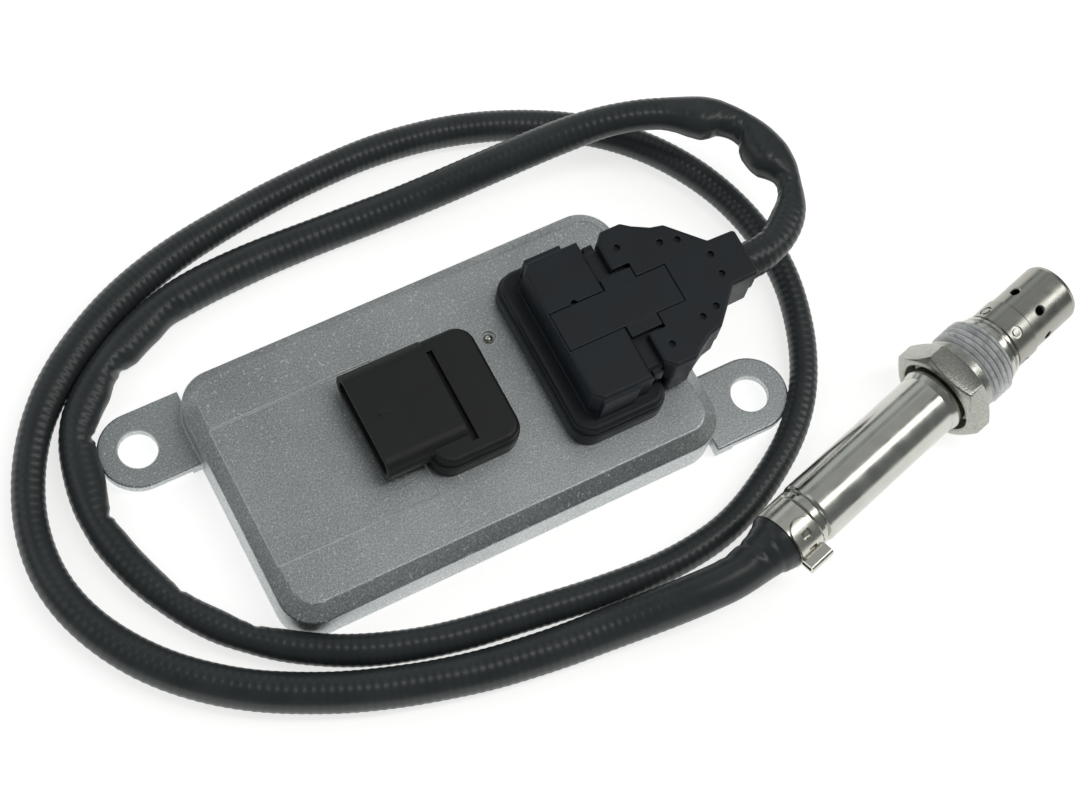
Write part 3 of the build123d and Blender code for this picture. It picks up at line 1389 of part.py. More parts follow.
def make_probe_leads():
    """Eight leads from the boot through the grommet to the contacts."""
    leads = []
    for i in range(WIRE_COUNT):
        lead = extrude(Circle(WIRE_DIAMETER / 2), HOLDER_REAR - CONTACT_TAIL - LEAD_REAR)
        leads.append(Rot(0, 0, lead_angle(i)) * Pos(WIRE_RING, 0, LEAD_REAR) * lead)
    return leads


def make_ball():
    """Steel ball pressed into the test port."""
    height = TOP_HEIGHT - BALL_DIAMETER / 2 + BALL_STAND
    return Pos(BALL_X, BALL_Y, height) * Sphere(BALL_DIAMETER / 2)


def build_unit():
    """All pieces of the control unit."""
    return {
        "housing": [make_housing()],
        "bottom_cover": [make_bottom_cover()],
        "cover_sealing_bead": [make_cover_bead()],
        "test_port_ball": [make_ball()],
        "circuit_board": [make_circuit_board()],
        "board_screws": make_board_screws(),
        "microcontroller": [make_controller()],
        "sensor_drive_chip": [make_drive_chip()],
        "bus_transceiver_chip": [small_chip(TRANSCEIVER_Y)],
        "voltage_regulator": [small_chip(REGULATOR_Y)],
        "electrolytic_capacitors": make_capacitors(),
        "power_choke": [make_inductor()],
        "clock_crystal": [make_crystal()],
        "heater_switches": make_heater_switches(),
        "vehicle_header": [make_vehicle_header()],
        "vehicle_header_pins": make_vehicle_pins(),
        "vehicle_header_seal": [make_header_seal(vehicle_centre())],
        "sensor_header": [make_sensor_header()],
        "sensor_header_pins": make_sensor_pins(),
        "sensor_header_seal": [make_header_seal(sensor_centre())],
    }


def build_plug_and_cable():
    """All pieces of the plug, and the cable."""
    upper, lower = make_backshells()
    return {
        "plug_housing": [make_plug_housing()],
        "plug_seal": [plug_seal_ring()],
        "plug_terminals": make_plug_terminals(),
        "backshell_upper": [upper],
        "backshell_lower": [lower],
        "cable_grommet": [make_cable_grommet()],
        "plug_wires": make_plug_wires(),
        "cable": [make_cable()],
    }


def build_probe():
    """All pieces of the probe, laid down where it rests."""
    rear, powder, front, end = insulator_stations()
    radius = SHELL_BORE / 2
    pieces = {
        "cable_boot": [make_boot()],
        "ear_clamp": [make_clamp()],
        "rear_tube": [make_rear_tube()],
        "sensor_shell": [make_sensor_shell()],
        "union_nut": [make_union_nut()],
        "outer_protection_cap": [make_outer_cap()],
        "inner_protection_cap": [make_inner_cap()],
        "sensing_element": [element_box(ELEMENT_REAR, ELEMENT_TIP)],
        "rear_insulator": [ceramic_ring(rear, powder, radius)],
        "powder_packing": [ceramic_ring(powder, front, radius)],
        "front_insulator": [ceramic_ring(front, end, radius)],
        "contact_holder": [make_contact_holder()],
        "element_contacts": make_contacts(),
        "probe_grommet": [make_probe_grommet()],
        "probe_leads": make_probe_leads(),
    }
    return {name: [place_on_probe(solid) for solid in solids] for name, solids in pieces.items()}


def main():
    """Build every piece and write one file for each."""
    os.makedirs("parts", exist_ok=True)
    pieces = {}
    pieces.update(build_unit())
    pieces.update(build_plug_and_cable())
    pieces.update(build_probe())
    for name, solids in pieces.items():
        shape = solids[0] if len(solids) == 1 else Compound(children=list(solids))
        export_step(shape, os.path.join("parts", name + ".step"))
    print(len(pieces), "nodes")


main()
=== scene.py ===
"""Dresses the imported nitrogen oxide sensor: cable, probe, sockets and plug, in a plain studio."""

import json
import logging
import math
from collections.abc import Sequence
from dataclasses import dataclass, field
from enum import Enum
from typing import ClassVar

import bmesh
import bpy
from mathutils import Matrix, Vector, noise

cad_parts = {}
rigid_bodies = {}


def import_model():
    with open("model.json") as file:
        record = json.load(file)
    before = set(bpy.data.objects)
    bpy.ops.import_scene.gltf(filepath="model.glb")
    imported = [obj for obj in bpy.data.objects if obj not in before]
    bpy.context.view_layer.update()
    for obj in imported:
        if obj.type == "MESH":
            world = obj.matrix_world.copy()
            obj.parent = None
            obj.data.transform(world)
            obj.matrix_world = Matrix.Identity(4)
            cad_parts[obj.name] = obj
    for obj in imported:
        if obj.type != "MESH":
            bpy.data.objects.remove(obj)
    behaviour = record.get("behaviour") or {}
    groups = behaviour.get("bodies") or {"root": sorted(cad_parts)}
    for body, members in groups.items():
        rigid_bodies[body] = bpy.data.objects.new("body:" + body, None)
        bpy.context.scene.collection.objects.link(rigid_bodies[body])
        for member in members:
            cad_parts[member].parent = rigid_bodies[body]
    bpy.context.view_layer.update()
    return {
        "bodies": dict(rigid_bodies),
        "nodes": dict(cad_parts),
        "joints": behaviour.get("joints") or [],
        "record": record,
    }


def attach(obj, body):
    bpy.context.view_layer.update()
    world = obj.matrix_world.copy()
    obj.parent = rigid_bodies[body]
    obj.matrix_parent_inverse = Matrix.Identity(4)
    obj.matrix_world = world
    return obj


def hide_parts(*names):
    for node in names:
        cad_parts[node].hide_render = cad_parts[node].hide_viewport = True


LOG = logging.getLogger("sensor")
MM = 0.001
# Points of a mesh that are closer than this, in metres, are made one.
SAME_POINT = 1e-6

Point = tuple[float, float, float]
Pair = tuple[float, float]
Socket = bpy.types.NodeSocket
Colour = Point | Socket


class Body(Enum):
    """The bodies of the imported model."""

    UNIT = "sensor_unit"
    NUT = "nut"


class Slot(Enum):
    """The record's material slots that the new pieces take."""

    SLEEVE = "cable_sleeve"
    NUT = "nut_steel"


class Cut(Enum):
    """What a tool does to the piece that it is used on."""

    AWAY = "DIFFERENCE"
    JOIN = "UNION"
    SHARED = "INTERSECT"


@dataclass(frozen=True)
class ProbeAxis:
    """Where the probe lies: its datum in millimetres and its turn in plan in degrees."""

    x: float = 62.2
    y: float = -56.1
    z: float = 11.0
    turn: float = 15.8

    def matrix(self) -> Matrix:
        """Take a piece built along Z, in metres, to where the probe lies.

        Returns:
            The matrix of its place.
        """
        place = Matrix.Translation(Vector((self.x, self.y, self.z)) * MM)
        turn = Matrix.Rotation(math.radians(self.turn), 4, "Z")
        lie_down = Matrix.Rotation(math.pi / 2, 4, "Y")
        return place @ turn @ lie_down


PROBE = ProbeAxis()


class Shader:
    """A material under construction, with short calls for its nodes."""

    # The Mix node's sockets for colours, by place, because several share a name.
    MIX_FACTOR: ClassVar[int] = 0
    MIX_LOW: ClassVar[int] = 6
    MIX_HIGH: ClassVar[int] = 7
    MIX_RESULT: ClassVar[int] = 2
    NOISE_ROUGHNESS: ClassVar[float] = 0.55
    EDGE_MASK_SAMPLES: ClassVar[int] = 8
    EDGE_SAMPLES: ClassVar[int] = 6
    # How alike the rounded and the flat normal are on an edge, where the finishes paint a highlight
    # and wear, and off it.
    EDGE_MASK_STOPS: ClassVar[Sequence[Pair]] = ((0.91, 1.0), (0.995, 0.0))
    ROUGHER: ClassVar[float] = 0.07
    SMOOTHER: ClassVar[float] = 0.05

    def __init__(self, name: str) -> None:
        """Start a material with a Principled shader.

        Args:
            name: the material's name.
        """
        self.material = bpy.data.materials.new(name)
        self.material.use_nodes = True
        self.tree = self.material.node_tree
        self.surface = self.tree.nodes["Principled BSDF"]

    def node(self, kind: str, **values: object) -> bpy.types.Node:
        """Add a node.

        Args:
            kind: the node's type without its ShaderNode prefix.
            values: properties of the node, or inputs by name with underscores for spaces.

        Returns:
            The new node.
        """
        made = self.tree.nodes.new("ShaderNode" + kind)
        for key, value in values.items():
            if hasattr(made, key):
                setattr(made, key, value)
            else:
                made.inputs[key.replace("_", " ")].default_value = value
        return made

    def link(self, source: Socket, target: Socket) -> None:
        """Join two sockets."""
        self.tree.links.new(source, target)

    def set(self, **values: object) -> None:
        """Set the shader's own sockets, by name with underscores for spaces."""
        for key, value in values.items():
            self.surface.inputs[key.replace("_", " ")].default_value = value

    def feed(self, **sources: Socket) -> None:
        """Link the shader's own sockets, by name with underscores for spaces."""
        for key, source in sources.items():
            self.link(source, self.surface.inputs[key.replace("_", " ")])

    def place(self, scale: Point = (1, 1, 1), turn: Point = (0, 0, 0)) -> Socket:
        """Give coordinates on the piece, from its Object coordinates.

        Args:
            scale: stretch along each axis.
            turn: turn about each axis in degrees.

        Returns:
            The socket with the coordinates.
        """
        mapping = self.node("Mapping", vector_type="TEXTURE")
        mapping.inputs["Rotation"].default_value = tuple(math.radians(a) for a in turn)
        mapping.inputs["Scale"].default_value = tuple(1 / s for s in scale)
        self.link(self.node("TexCoord").outputs["Object"], mapping.inputs["Vector"])
        return mapping.outputs["Vector"]

    def attribute(self, name: str) -> Socket:
        """Read a number that the piece's mesh stores at each point."""
        return self.node("Attribute", attribute_name=name).outputs["Fac"]

    def noise(self, place: Socket, size: float, detail: float = 2.0) -> Socket:
        """Give a noise.

        Args:
            place: the coordinates that it is read at.
            size: rough size of its grains in metres.
            detail: how many finer layers it has.

        Returns:
            The socket with the noise, from 0 to 1.
        """
        values = {"Scale": 1.0 / size, "Detail": detail, "Roughness": self.NOISE_ROUGHNESS}
        made = self.node("TexNoise", **values)
        self.link(place, made.inputs["Vector"])
        return made.outputs["Fac"]

    def ramp(self, source: Socket, stops: Sequence[Pair]) -> Socket:
        """Map a value from one range to another.

        Args:
            source: the value.
            stops: the lower and the upper (from, to) pair.

        Returns:
            The socket with the mapped value, which stays level outside the stops.
        """
        made = self.node("ValToRGB")
        for element, (start, grey) in zip(made.color_ramp.elements, stops):
            element.position = start
            element.color = (grey, grey, grey, 1)
        self.link(source, made.inputs["Fac"])
        return made.outputs["Color"]

    def waver(self, source: Socket, middle: float) -> Socket:
        """Let a roughness go a little up and down with a noise.

        Args:
            source: the noise.
            middle: the roughness that it goes round.

        Returns:
            The socket with the roughness.
        """
        return self.ramp(source, ((0.3, middle - self.SMOOTHER), (0.7, middle + self.ROUGHER)))

    def combine(self, first: Socket, second: Socket, operation: str = "ADD") -> Socket:
        """Add two values, or combine them by another operation.

        Args:
            first: the first value.
            second: the second value.
            operation: what the Math node does with them.

        Returns:
            The socket with the result.
        """
        made = self.node("Math", operation=operation)
        self.link(first, made.inputs[0])
        self.link(second, made.inputs[1])
        return made.outputs[0]

    def mix(self, factor: Socket, low: Colour, high: Colour) -> Socket:
        """Mix two colours, each a plain colour or a socket with one.

        Args:
            factor: how much of the high colour there is, from 0 to 1.
            low: the colour at 0.
            high: the colour at 1.

        Returns:
            The socket with the mixed colour.
        """
        made = self.node("Mix", data_type="RGBA")
        self.link(factor, made.inputs[self.MIX_FACTOR])
        for place, colour in ((self.MIX_LOW, low), (self.MIX_HIGH, high)):
            if isinstance(colour, Socket):
                self.link(colour, made.inputs[place])
            else:
                made.inputs[place].default_value = (*colour, 1)
        return made.outputs[self.MIX_RESULT]

    def edges(self, radius: float) -> Socket:
        """Find the piece's edges, where the finishes paint a highlight that stands partly for wear.

        Args:
            radius: how far the band of painted highlight and wear reaches in metres.

        Returns:
            The socket with the mask: 1 along the edges and 0 on the faces.
        """
        rounded = self.node("Bevel", samples=self.EDGE_MASK_SAMPLES, Radius=radius)
        flat = self.node("NewGeometry")
        likeness = self.node("VectorMath", operation="DOT_PRODUCT")
        self.link(rounded.outputs["Normal"], likeness.inputs[0])
        self.link(flat.outputs["Normal"], likeness.inputs[1])
        return self.ramp(likeness.outputs["Value"], self.EDGE_MASK_STOPS)

    def relief(self, heights: Sequence[tuple[Socket, float]], edge: float = 0.0) -> None:
        """Lay bumps over each other, on a softly rounded edge.

        Args:
            heights: sockets with heights from 0 to 1, each with its depth in metres.
            edge: radius of the rounded edge in metres, or 0 for none.
        """
        below = None
        if edge:
            below = self.node("Bevel", samples=self.EDGE_SAMPLES, Radius=edge).outputs["Normal"]
        for height, depth in heights:
            bump = self.node("Bump", Strength=1.0, Distance=depth)
            self.link(height, bump.inputs["Height"])
            if below is not None:
                self.link(below, bump.inputs["Normal"])
            below = bump.outputs["Normal"]
        self.feed(Normal=below)


@dataclass(frozen=True)
class CastFinish:
    """Blasted die casting: even grey with bright and dark grains; its edges take a painted
    highlight, partly wear.

    In this finish and the others, the sizes of grains, flecks, clouds, lines and blots, the depths
    of the relief and the widths of edges are in metres.
    """

    name: str = "blasted_casting"
    dark: Point = (0.335, 0.36, 0.368)
    light: Point = (0.82, 0.85, 0.855)
    # Nearly white, on the edges: a painted highlight, partly wear.
    highlight_and_wear: Point = (0.96, 0.98, 0.97)
    edge: float = 0.0005
    highlight_and_wear_reach: float = 0.00055
    grain: float = 0.00038
    fleck: float = 0.00062
    cloud: float = 0.02
    grain_depth: float = 0.00003
    fleck_depth: float = 0.00002

    def build(self) -> bpy.types.Material:
        """Make the material.

        Returns:
            The material.
        """
        shader = Shader(self.name)
        place = shader.place()
        grain = shader.noise(place, self.grain)
        fleck = shader.noise(place, self.fleck, 1.0)
        cloud = shader.noise(place, self.cloud)
        clouds = shader.ramp(cloud, ((0.3, 0.0), (0.7, 0.2)))
        grains = shader.ramp(grain, ((0.36, 0.0), (0.66, 0.6)))
        chips = shader.ramp(fleck, ((0.655, 0.0), (0.69, 1.0)))
        tone = shader.combine(shader.combine(clouds, grains), chips)
        # The edges are painted near white and made less metallic: a painted highlight, partly wear.
        highlight_and_wear_mask = shader.edges(self.highlight_and_wear_reach)
        shader.feed(
            Base_Color=shader.mix(highlight_and_wear_mask, shader.mix(tone, self.dark, self.light), self.highlight_and_wear),
            Metallic=shader.ramp(shader.combine(highlight_and_wear_mask, chips), ((0.0, 0.94), (1.0, 0.12))),
            Roughness=shader.ramp(fleck, ((0.3, 0.48), (0.75, 0.34))),
        )
        shader.relief([(grain, self.grain_depth), (fleck, self.fleck_depth)], edge=self.edge)
        return shader.material


@dataclass(frozen=True)
class MouldedFinish:
    """Black moulded plastic or rubber: fine grain, cloudy tones, edges with painted highlight and
    wear.
    """

    name: str
    colour: Point = (0.0080, 0.0122, 0.0170)
    worn: Point = (0.0125, 0.0185, 0.0250)
    # How much lighter the edges are painted: a painted highlight, partly wear.
    highlight_and_wear_gain: float = 2.2
    roughness: float = 0.46
    edge: float = 0.0005
    grain: float = 0.00028
    cloud: float = 0.009
    grain_depth: float = 0.000035

    def build(self) -> bpy.types.Material:
        """Make the material.

        Returns:
            The material.
        """
        shader = Shader(self.name)
        place = shader.place()
        grain = shader.noise(place, self.grain)
        cloud = shader.noise(place, self.cloud, 3.0)
        clouds = shader.ramp(cloud, ((0.35, 0.0), (0.75, 1.0)))
        face = shader.mix(clouds, self.colour, self.worn)
        # The edges are painted lighter than the light tone: a painted highlight, partly wear.
        highlight_and_wear = tuple(c * self.highlight_and_wear_gain for c in self.worn)
        shader.feed(
            Base_Color=shader.mix(shader.edges(self.edge), face, highlight_and_wear),
            Roughness=shader.waver(cloud, self.roughness),
        )
        shader.set(Specular_IOR_Level=0.5)
        shader.relief([(grain, self.grain_depth)], edge=self.edge)
        return shader.material


@dataclass(frozen=True)
class SleeveFinish:
    """Thin black sleeve, a little shiny, with a finely creased skin."""

    name: str = "ribbed_sleeve"
    dark: Point = (0.035, 0.041, 0.043)
    light: Point = (0.050, 0.057, 0.060)
    skin: float = 0.0011
    cloud: float = 0.012
    skin_depth: float = 0.00003

    def build(self) -> bpy.types.Material:
        """Make the material.

        Returns:
            The material.
        """
        shader = Shader(self.name)
        place = shader.place()
        skin = shader.noise(place, self.skin, 4.0)
        clouds = shader.ramp(shader.noise(place, self.cloud, 3.0), ((0.35, 0.0), (0.7, 1.0)))
        shader.feed(
            Base_Color=shader.mix(clouds, self.dark, self.light),
            Roughness=shader.ramp(skin, ((0.3, 0.30), (0.7, 0.38))),
        )
        shader.set(Specular_IOR_Level=0.5)
        shader.relief([(skin, self.skin_depth)])
        return shader.material


@dataclass(frozen=True)
class SteelFinish:
    """Bare steel along the probe, with fine turning lines round its axis."""

    name: str
    colour: Point
    roughness: float
    dulling: float = 0.86
    line: float = 0.00012
    line_scale: Point = (1.0, 0.02, 0.02)
    line_depth: float = 0.000004
    cloud: float = 0.006

    def build(self) -> bpy.types.Material:
        """Make the material.

        Returns:
            The material.
        """
        shader = Shader(self.name)
        rings = shader.place(scale=self.line_scale, turn=(0, 0, PROBE.turn))
        lines = shader.noise(rings, self.line, 3.0)
        cloud = shader.noise(shader.place(), self.cloud, 3.0)
        clouds = shader.ramp(cloud, ((0.35, 0.0), (0.7, 1.0)))
        dull = tuple(c * self.dulling for c in self.colour)
        shader.feed(
            Base_Color=shader.mix(clouds, dull, self.colour),
            Roughness=shader.waver(cloud, self.roughness),
        )
        shader.set(Metallic=1.0)
        shader.relief([(lines, self.line_depth)])
        return shader.material


@dataclass(frozen=True)
class PasteFinish:
    """Threaded nut: satin steel with pale paste on its thread.

    The mesh says where: its attribute paste is 1 on the thread, and its groove attribute is 1 in
    the grooves, where shade is painted in.
    """

    name: str = "nut_with_paste"
    steel_dark: Point = (0.33, 0.33, 0.30)
    steel_light: Point = (0.47, 0.47, 0.425)
    paste_dark: Point = (0.74, 0.75, 0.76)
    paste_light: Point = (0.97, 0.98, 0.99)
    # Dark grey in the grooves of the thread: painted shade.
    groove: Point = (0.28, 0.285, 0.29)
    blot: float = 0.0016
    streak_scale: Point = (1.0, 0.3, 0.3)
    grain: float = 0.00045
    grain_depth: float = 0.00003
    edge: float = 0.0002

    def build(self) -> bpy.types.Material:
        """Make the material.

        Returns:
            The material.
        """
        shader = Shader(self.name)
        place = shader.place()
        round_axis = shader.place(scale=self.streak_scale, turn=(0, 0, PROBE.turn))
        grain = shader.noise(place, self.grain, 3.0)
        grains = shader.ramp(grain, ((0.35, 0.0), (0.65, 1.0)))
        blots = shader.ramp(shader.noise(place, self.blot, 4.0), ((0.36, 0.5), (0.52, 1.0)))
        streaks = shader.ramp(shader.noise(round_axis, self.blot, 3.0), ((0.36, 0.0), (0.62, 1.0)))
        mask = shader.combine(shader.attribute("paste"), blots, "MULTIPLY")
        steel = shader.mix(grains, self.steel_dark, self.steel_light)
        crests = shader.mix(streaks, self.paste_dark, self.paste_light)
        # The thread's grooves are painted dark grey: painted shade under the crests.
        paste = shader.mix(shader.attribute("groove"), crests, self.groove)
        shader.feed(
            Base_Color=shader.mix(mask, steel, paste),
            Roughness=shader.ramp(mask, ((0.0, 0.26), (1.0, 0.6))),
            Metallic=shader.ramp(mask, ((0.0, 1.0), (1.0, 0.1))),
        )
        shader.relief([(grain, self.grain_depth)], edge=self.edge)
        return shader.material


@dataclass(frozen=True)
class PlainFinish:
    """Finish of a small or hidden piece: two close tones and a fine grain."""

    name: str
    colour: Point
    metallic: float = 0.0
    roughness: float = 0.5
    dulling: float = 0.75
    grain: float = 0.0008
    grain_depth: float = 0.00003

    def build(self) -> bpy.types.Material:
        """Make the material.

        Returns:
            The material.
        """
        shader = Shader(self.name)
        grain = shader.noise(shader.place(), self.grain, 3.0)
        dull = tuple(c * self.dulling for c in self.colour)
        shader.feed(
            Base_Color=shader.mix(grain, dull, self.colour),
            Roughness=shader.ramp(grain, ((0.3, self.roughness), (0.7, self.roughness + 0.1))),
        )
        shader.set(Metallic=self.metallic)
        shader.relief([(grain, self.grain_depth)])
        return shader.material


class Bench:
    """The modelling operators, called as by hand, with everything else deselected first."""

    @staticmethod
    def clear() -> None:
        """Leave edit mode and deselect all objects."""
        if bpy.context.object and bpy.context.object.mode != "OBJECT":
            bpy.ops.object.mode_set(mode="OBJECT")
        bpy.ops.object.select_all(action="DESELECT")

    @staticmethod
    def take(piece: bpy.types.Object) -> None:
        """Make one object the only selected and active one.

        Args:
            piece: the object.
        """
        Bench.clear()
        piece.select_set(True)
        bpy.context.view_layer.objects.active = piece

    @staticmethod
    def turned(name: str, profile: Sequence[Pair], segments: int) -> bpy.types.Object:
        """Turn a solid about Z: a ring is extruded and resized from station to station.

        Args:
            name: the object's name.
            profile: (radius, station) pairs in millimetres, from the first ring to the last.
            segments: faces round the piece.

        Returns:
            The solid, with flat faces on its two ends.
        """
        Bench.clear()
        radius, station = profile[0]
        bpy.ops.mesh.primitive_circle_add(
            vertices=segments, radius=radius * MM, location=(0, 0, station * MM)
        )
        piece = bpy.context.object
        piece.name = name
        bpy.ops.object.transform_apply(location=True, rotation=True, scale=True)
        bpy.ops.object.mode_set(mode="EDIT")
        bpy.ops.mesh.select_all(action="SELECT")
        for (r0, z0), (r1, z1) in zip(profile, profile[1:]):
            step = {"value": (0, 0, (z1 - z0) * MM)}
            bpy.ops.mesh.extrude_region_move(TRANSFORM_OT_translate=step)
            size = (r1 / r0, r1 / r0, 1)
            bpy.ops.transform.resize(value=size, center_override=(0, 0, z1 * MM))
        bpy.ops.mesh.select_all(action="SELECT")
        bpy.ops.mesh.edge_face_add()
        bpy.ops.mesh.remove_doubles(threshold=SAME_POINT)
        bpy.ops.mesh.normals_make_consistent(inside=False)
        bpy.ops.object.mode_set(mode="OBJECT")
        mesh = bmesh.new()
        mesh.from_mesh(piece.data)
        bmesh.ops.holes_fill(mesh, edges=mesh.edges[:], sides=0)
        bmesh.ops.recalc_face_normals(mesh, faces=mesh.faces[:])
        mesh.to_mesh(piece.data)
        mesh.free()
        return piece

    @staticmethod
    def cut(piece: bpy.types.Object, tool: bpy.types.Object, way: Cut = Cut.AWAY) -> None:
        """Use one solid on another, and remove it.

        Args:
            piece: the solid that stays.
            tool: the solid that is used on it.
            way: whether the tool cuts away, joins, or leaves what both share.
        """
        Bench.take(piece)
        modifier = piece.modifiers.new("cut", "BOOLEAN")
        modifier.operation, modifier.object, modifier.solver = way.value, tool, "EXACT"
        bpy.ops.object.modifier_apply(modifier=modifier.name)
        bpy.data.objects.remove(tool)

    @staticmethod
    def soften(piece: bpy.types.Object, width: float, angle: float = 40) -> None:
        """Round the sharp edges of a piece.

        Args:
            piece: the piece.
            width: width of the rounding in millimetres.
            angle: edges sharper than this are rounded, in degrees.
        """
        Bench.take(piece)
        modifier = piece.modifiers.new("soft", "BEVEL")
        modifier.width, modifier.segments = width * MM, 2
        modifier.limit_method, modifier.angle_limit = "ANGLE", math.radians(angle)
        bpy.ops.object.modifier_apply(modifier=modifier.name)

    @staticmethod
    def smooth(piece: bpy.types.Object, angle: float) -> None:
        """Shade a piece smooth where its faces meet at less than an angle in degrees."""
        Bench.take(piece)
        bpy.ops.object.shade_smooth_by_angle(angle=math.radians(angle))

    @staticmethod
    def settle(piece: bpy.types.Object, place: Matrix) -> None:
        """Put a piece in its place, with the place kept in its mesh.

        Args:
            piece: the piece.
            place: the matrix of its place.
        """
        Bench.clear()
        piece.data.transform(piece.matrix_world)
        piece.matrix_world = Matrix.Identity(4)
        piece.data.transform(place)

    @staticmethod
    def dress(piece: bpy.types.Object, finish: bpy.types.Material) -> None:
        """Give a piece one finish."""
        piece.data.materials.clear()
        piece.data.materials.append(finish)


@dataclass(frozen=True)
class Crease:
    """A fold of the sleeve: a narrow valley between two raised lips.

    Station, width and depth are in millimetres. The side is an angle round the cable in degrees,
    0 on its left and 90 on top, and the fold fades out over the spread on both sides of it. The
    slant moves the fold along the cable as it goes round, in millimetres per radian.
    """

    station: float
    width: float
    depth: float
    side: float
    spread: float
    slant: float

    # The section of a fold, in its own widths: where it ends, and its valley and lips.
    REACH: ClassVar[float] = 3.0
    VALLEY_SHARPNESS: ClassVar[float] = 2.2
    LIP_PLACE: ClassVar[float] = 1.3
    LIP_HEIGHT: ClassVar[float] = 0.38
    LIP_SHARPNESS: ClassVar[float] = 3.0

    def rise(self, station: float, angle: float) -> float:
        """Give how far the fold lifts or lowers a point of the sleeve.

        Args:
            station: the point's distance along the cable in millimetres.
            angle: its angle round the cable in radians.

        Returns:
            The change of radius in millimetres.
        """
        turn = math.remainder(angle - math.radians(self.side), 2 * math.pi)
        along = (station - self.station - self.slant * turn) / self.width
        if abs(along) > self.REACH:
            return 0.0
        fade = math.cos(min(abs(turn) / math.radians(self.spread), 1.0) * math.pi / 2)
        valley = -math.exp(-along * along * self.VALLEY_SHARPNESS)
        from_lip = abs(along) - self.LIP_PLACE
        lips = self.LIP_HEIGHT * math.exp(-(from_lip**2) * self.LIP_SHARPNESS)
        return self.depth * fade * (valley + lips)


@dataclass(frozen=True)
class Puff:
    """A stretch where the loose sleeve stands off the conduit and is smooth, without ribs.

    Start and end are stations in millimetres, low and high are angles round the cable in degrees.
    """

    start: float
    end: float
    low: float = -75.0
    high: float = 42.0

    # Over how many millimetres or degrees the ribs come back at its ends and its two sides.
    END_FADE: ClassVar[float] = 3.0
    LOW_FADE: ClassVar[float] = 14.0
    HIGH_FADE: ClassVar[float] = 9.0

    def cover(self, station: float, angle: float) -> float:
        """Give how much of the ribs the loose sleeve hides at a point.

        Args:
            station: the point's distance along the cable in millimetres.
            angle: its angle round the cable in radians.

        Returns:
            A share from 0 to 1.
        """
        turn = math.degrees(math.remainder(angle, 2 * math.pi))
        start = smoothstep(self.start, self.start + self.END_FADE, station)
        end = 1 - smoothstep(self.end - self.END_FADE, self.end, station)
        low = smoothstep(self.low - self.LOW_FADE, self.low, turn)
        high = 1 - smoothstep(self.high, self.high + self.HIGH_FADE, turn)
        return start * end * low * high


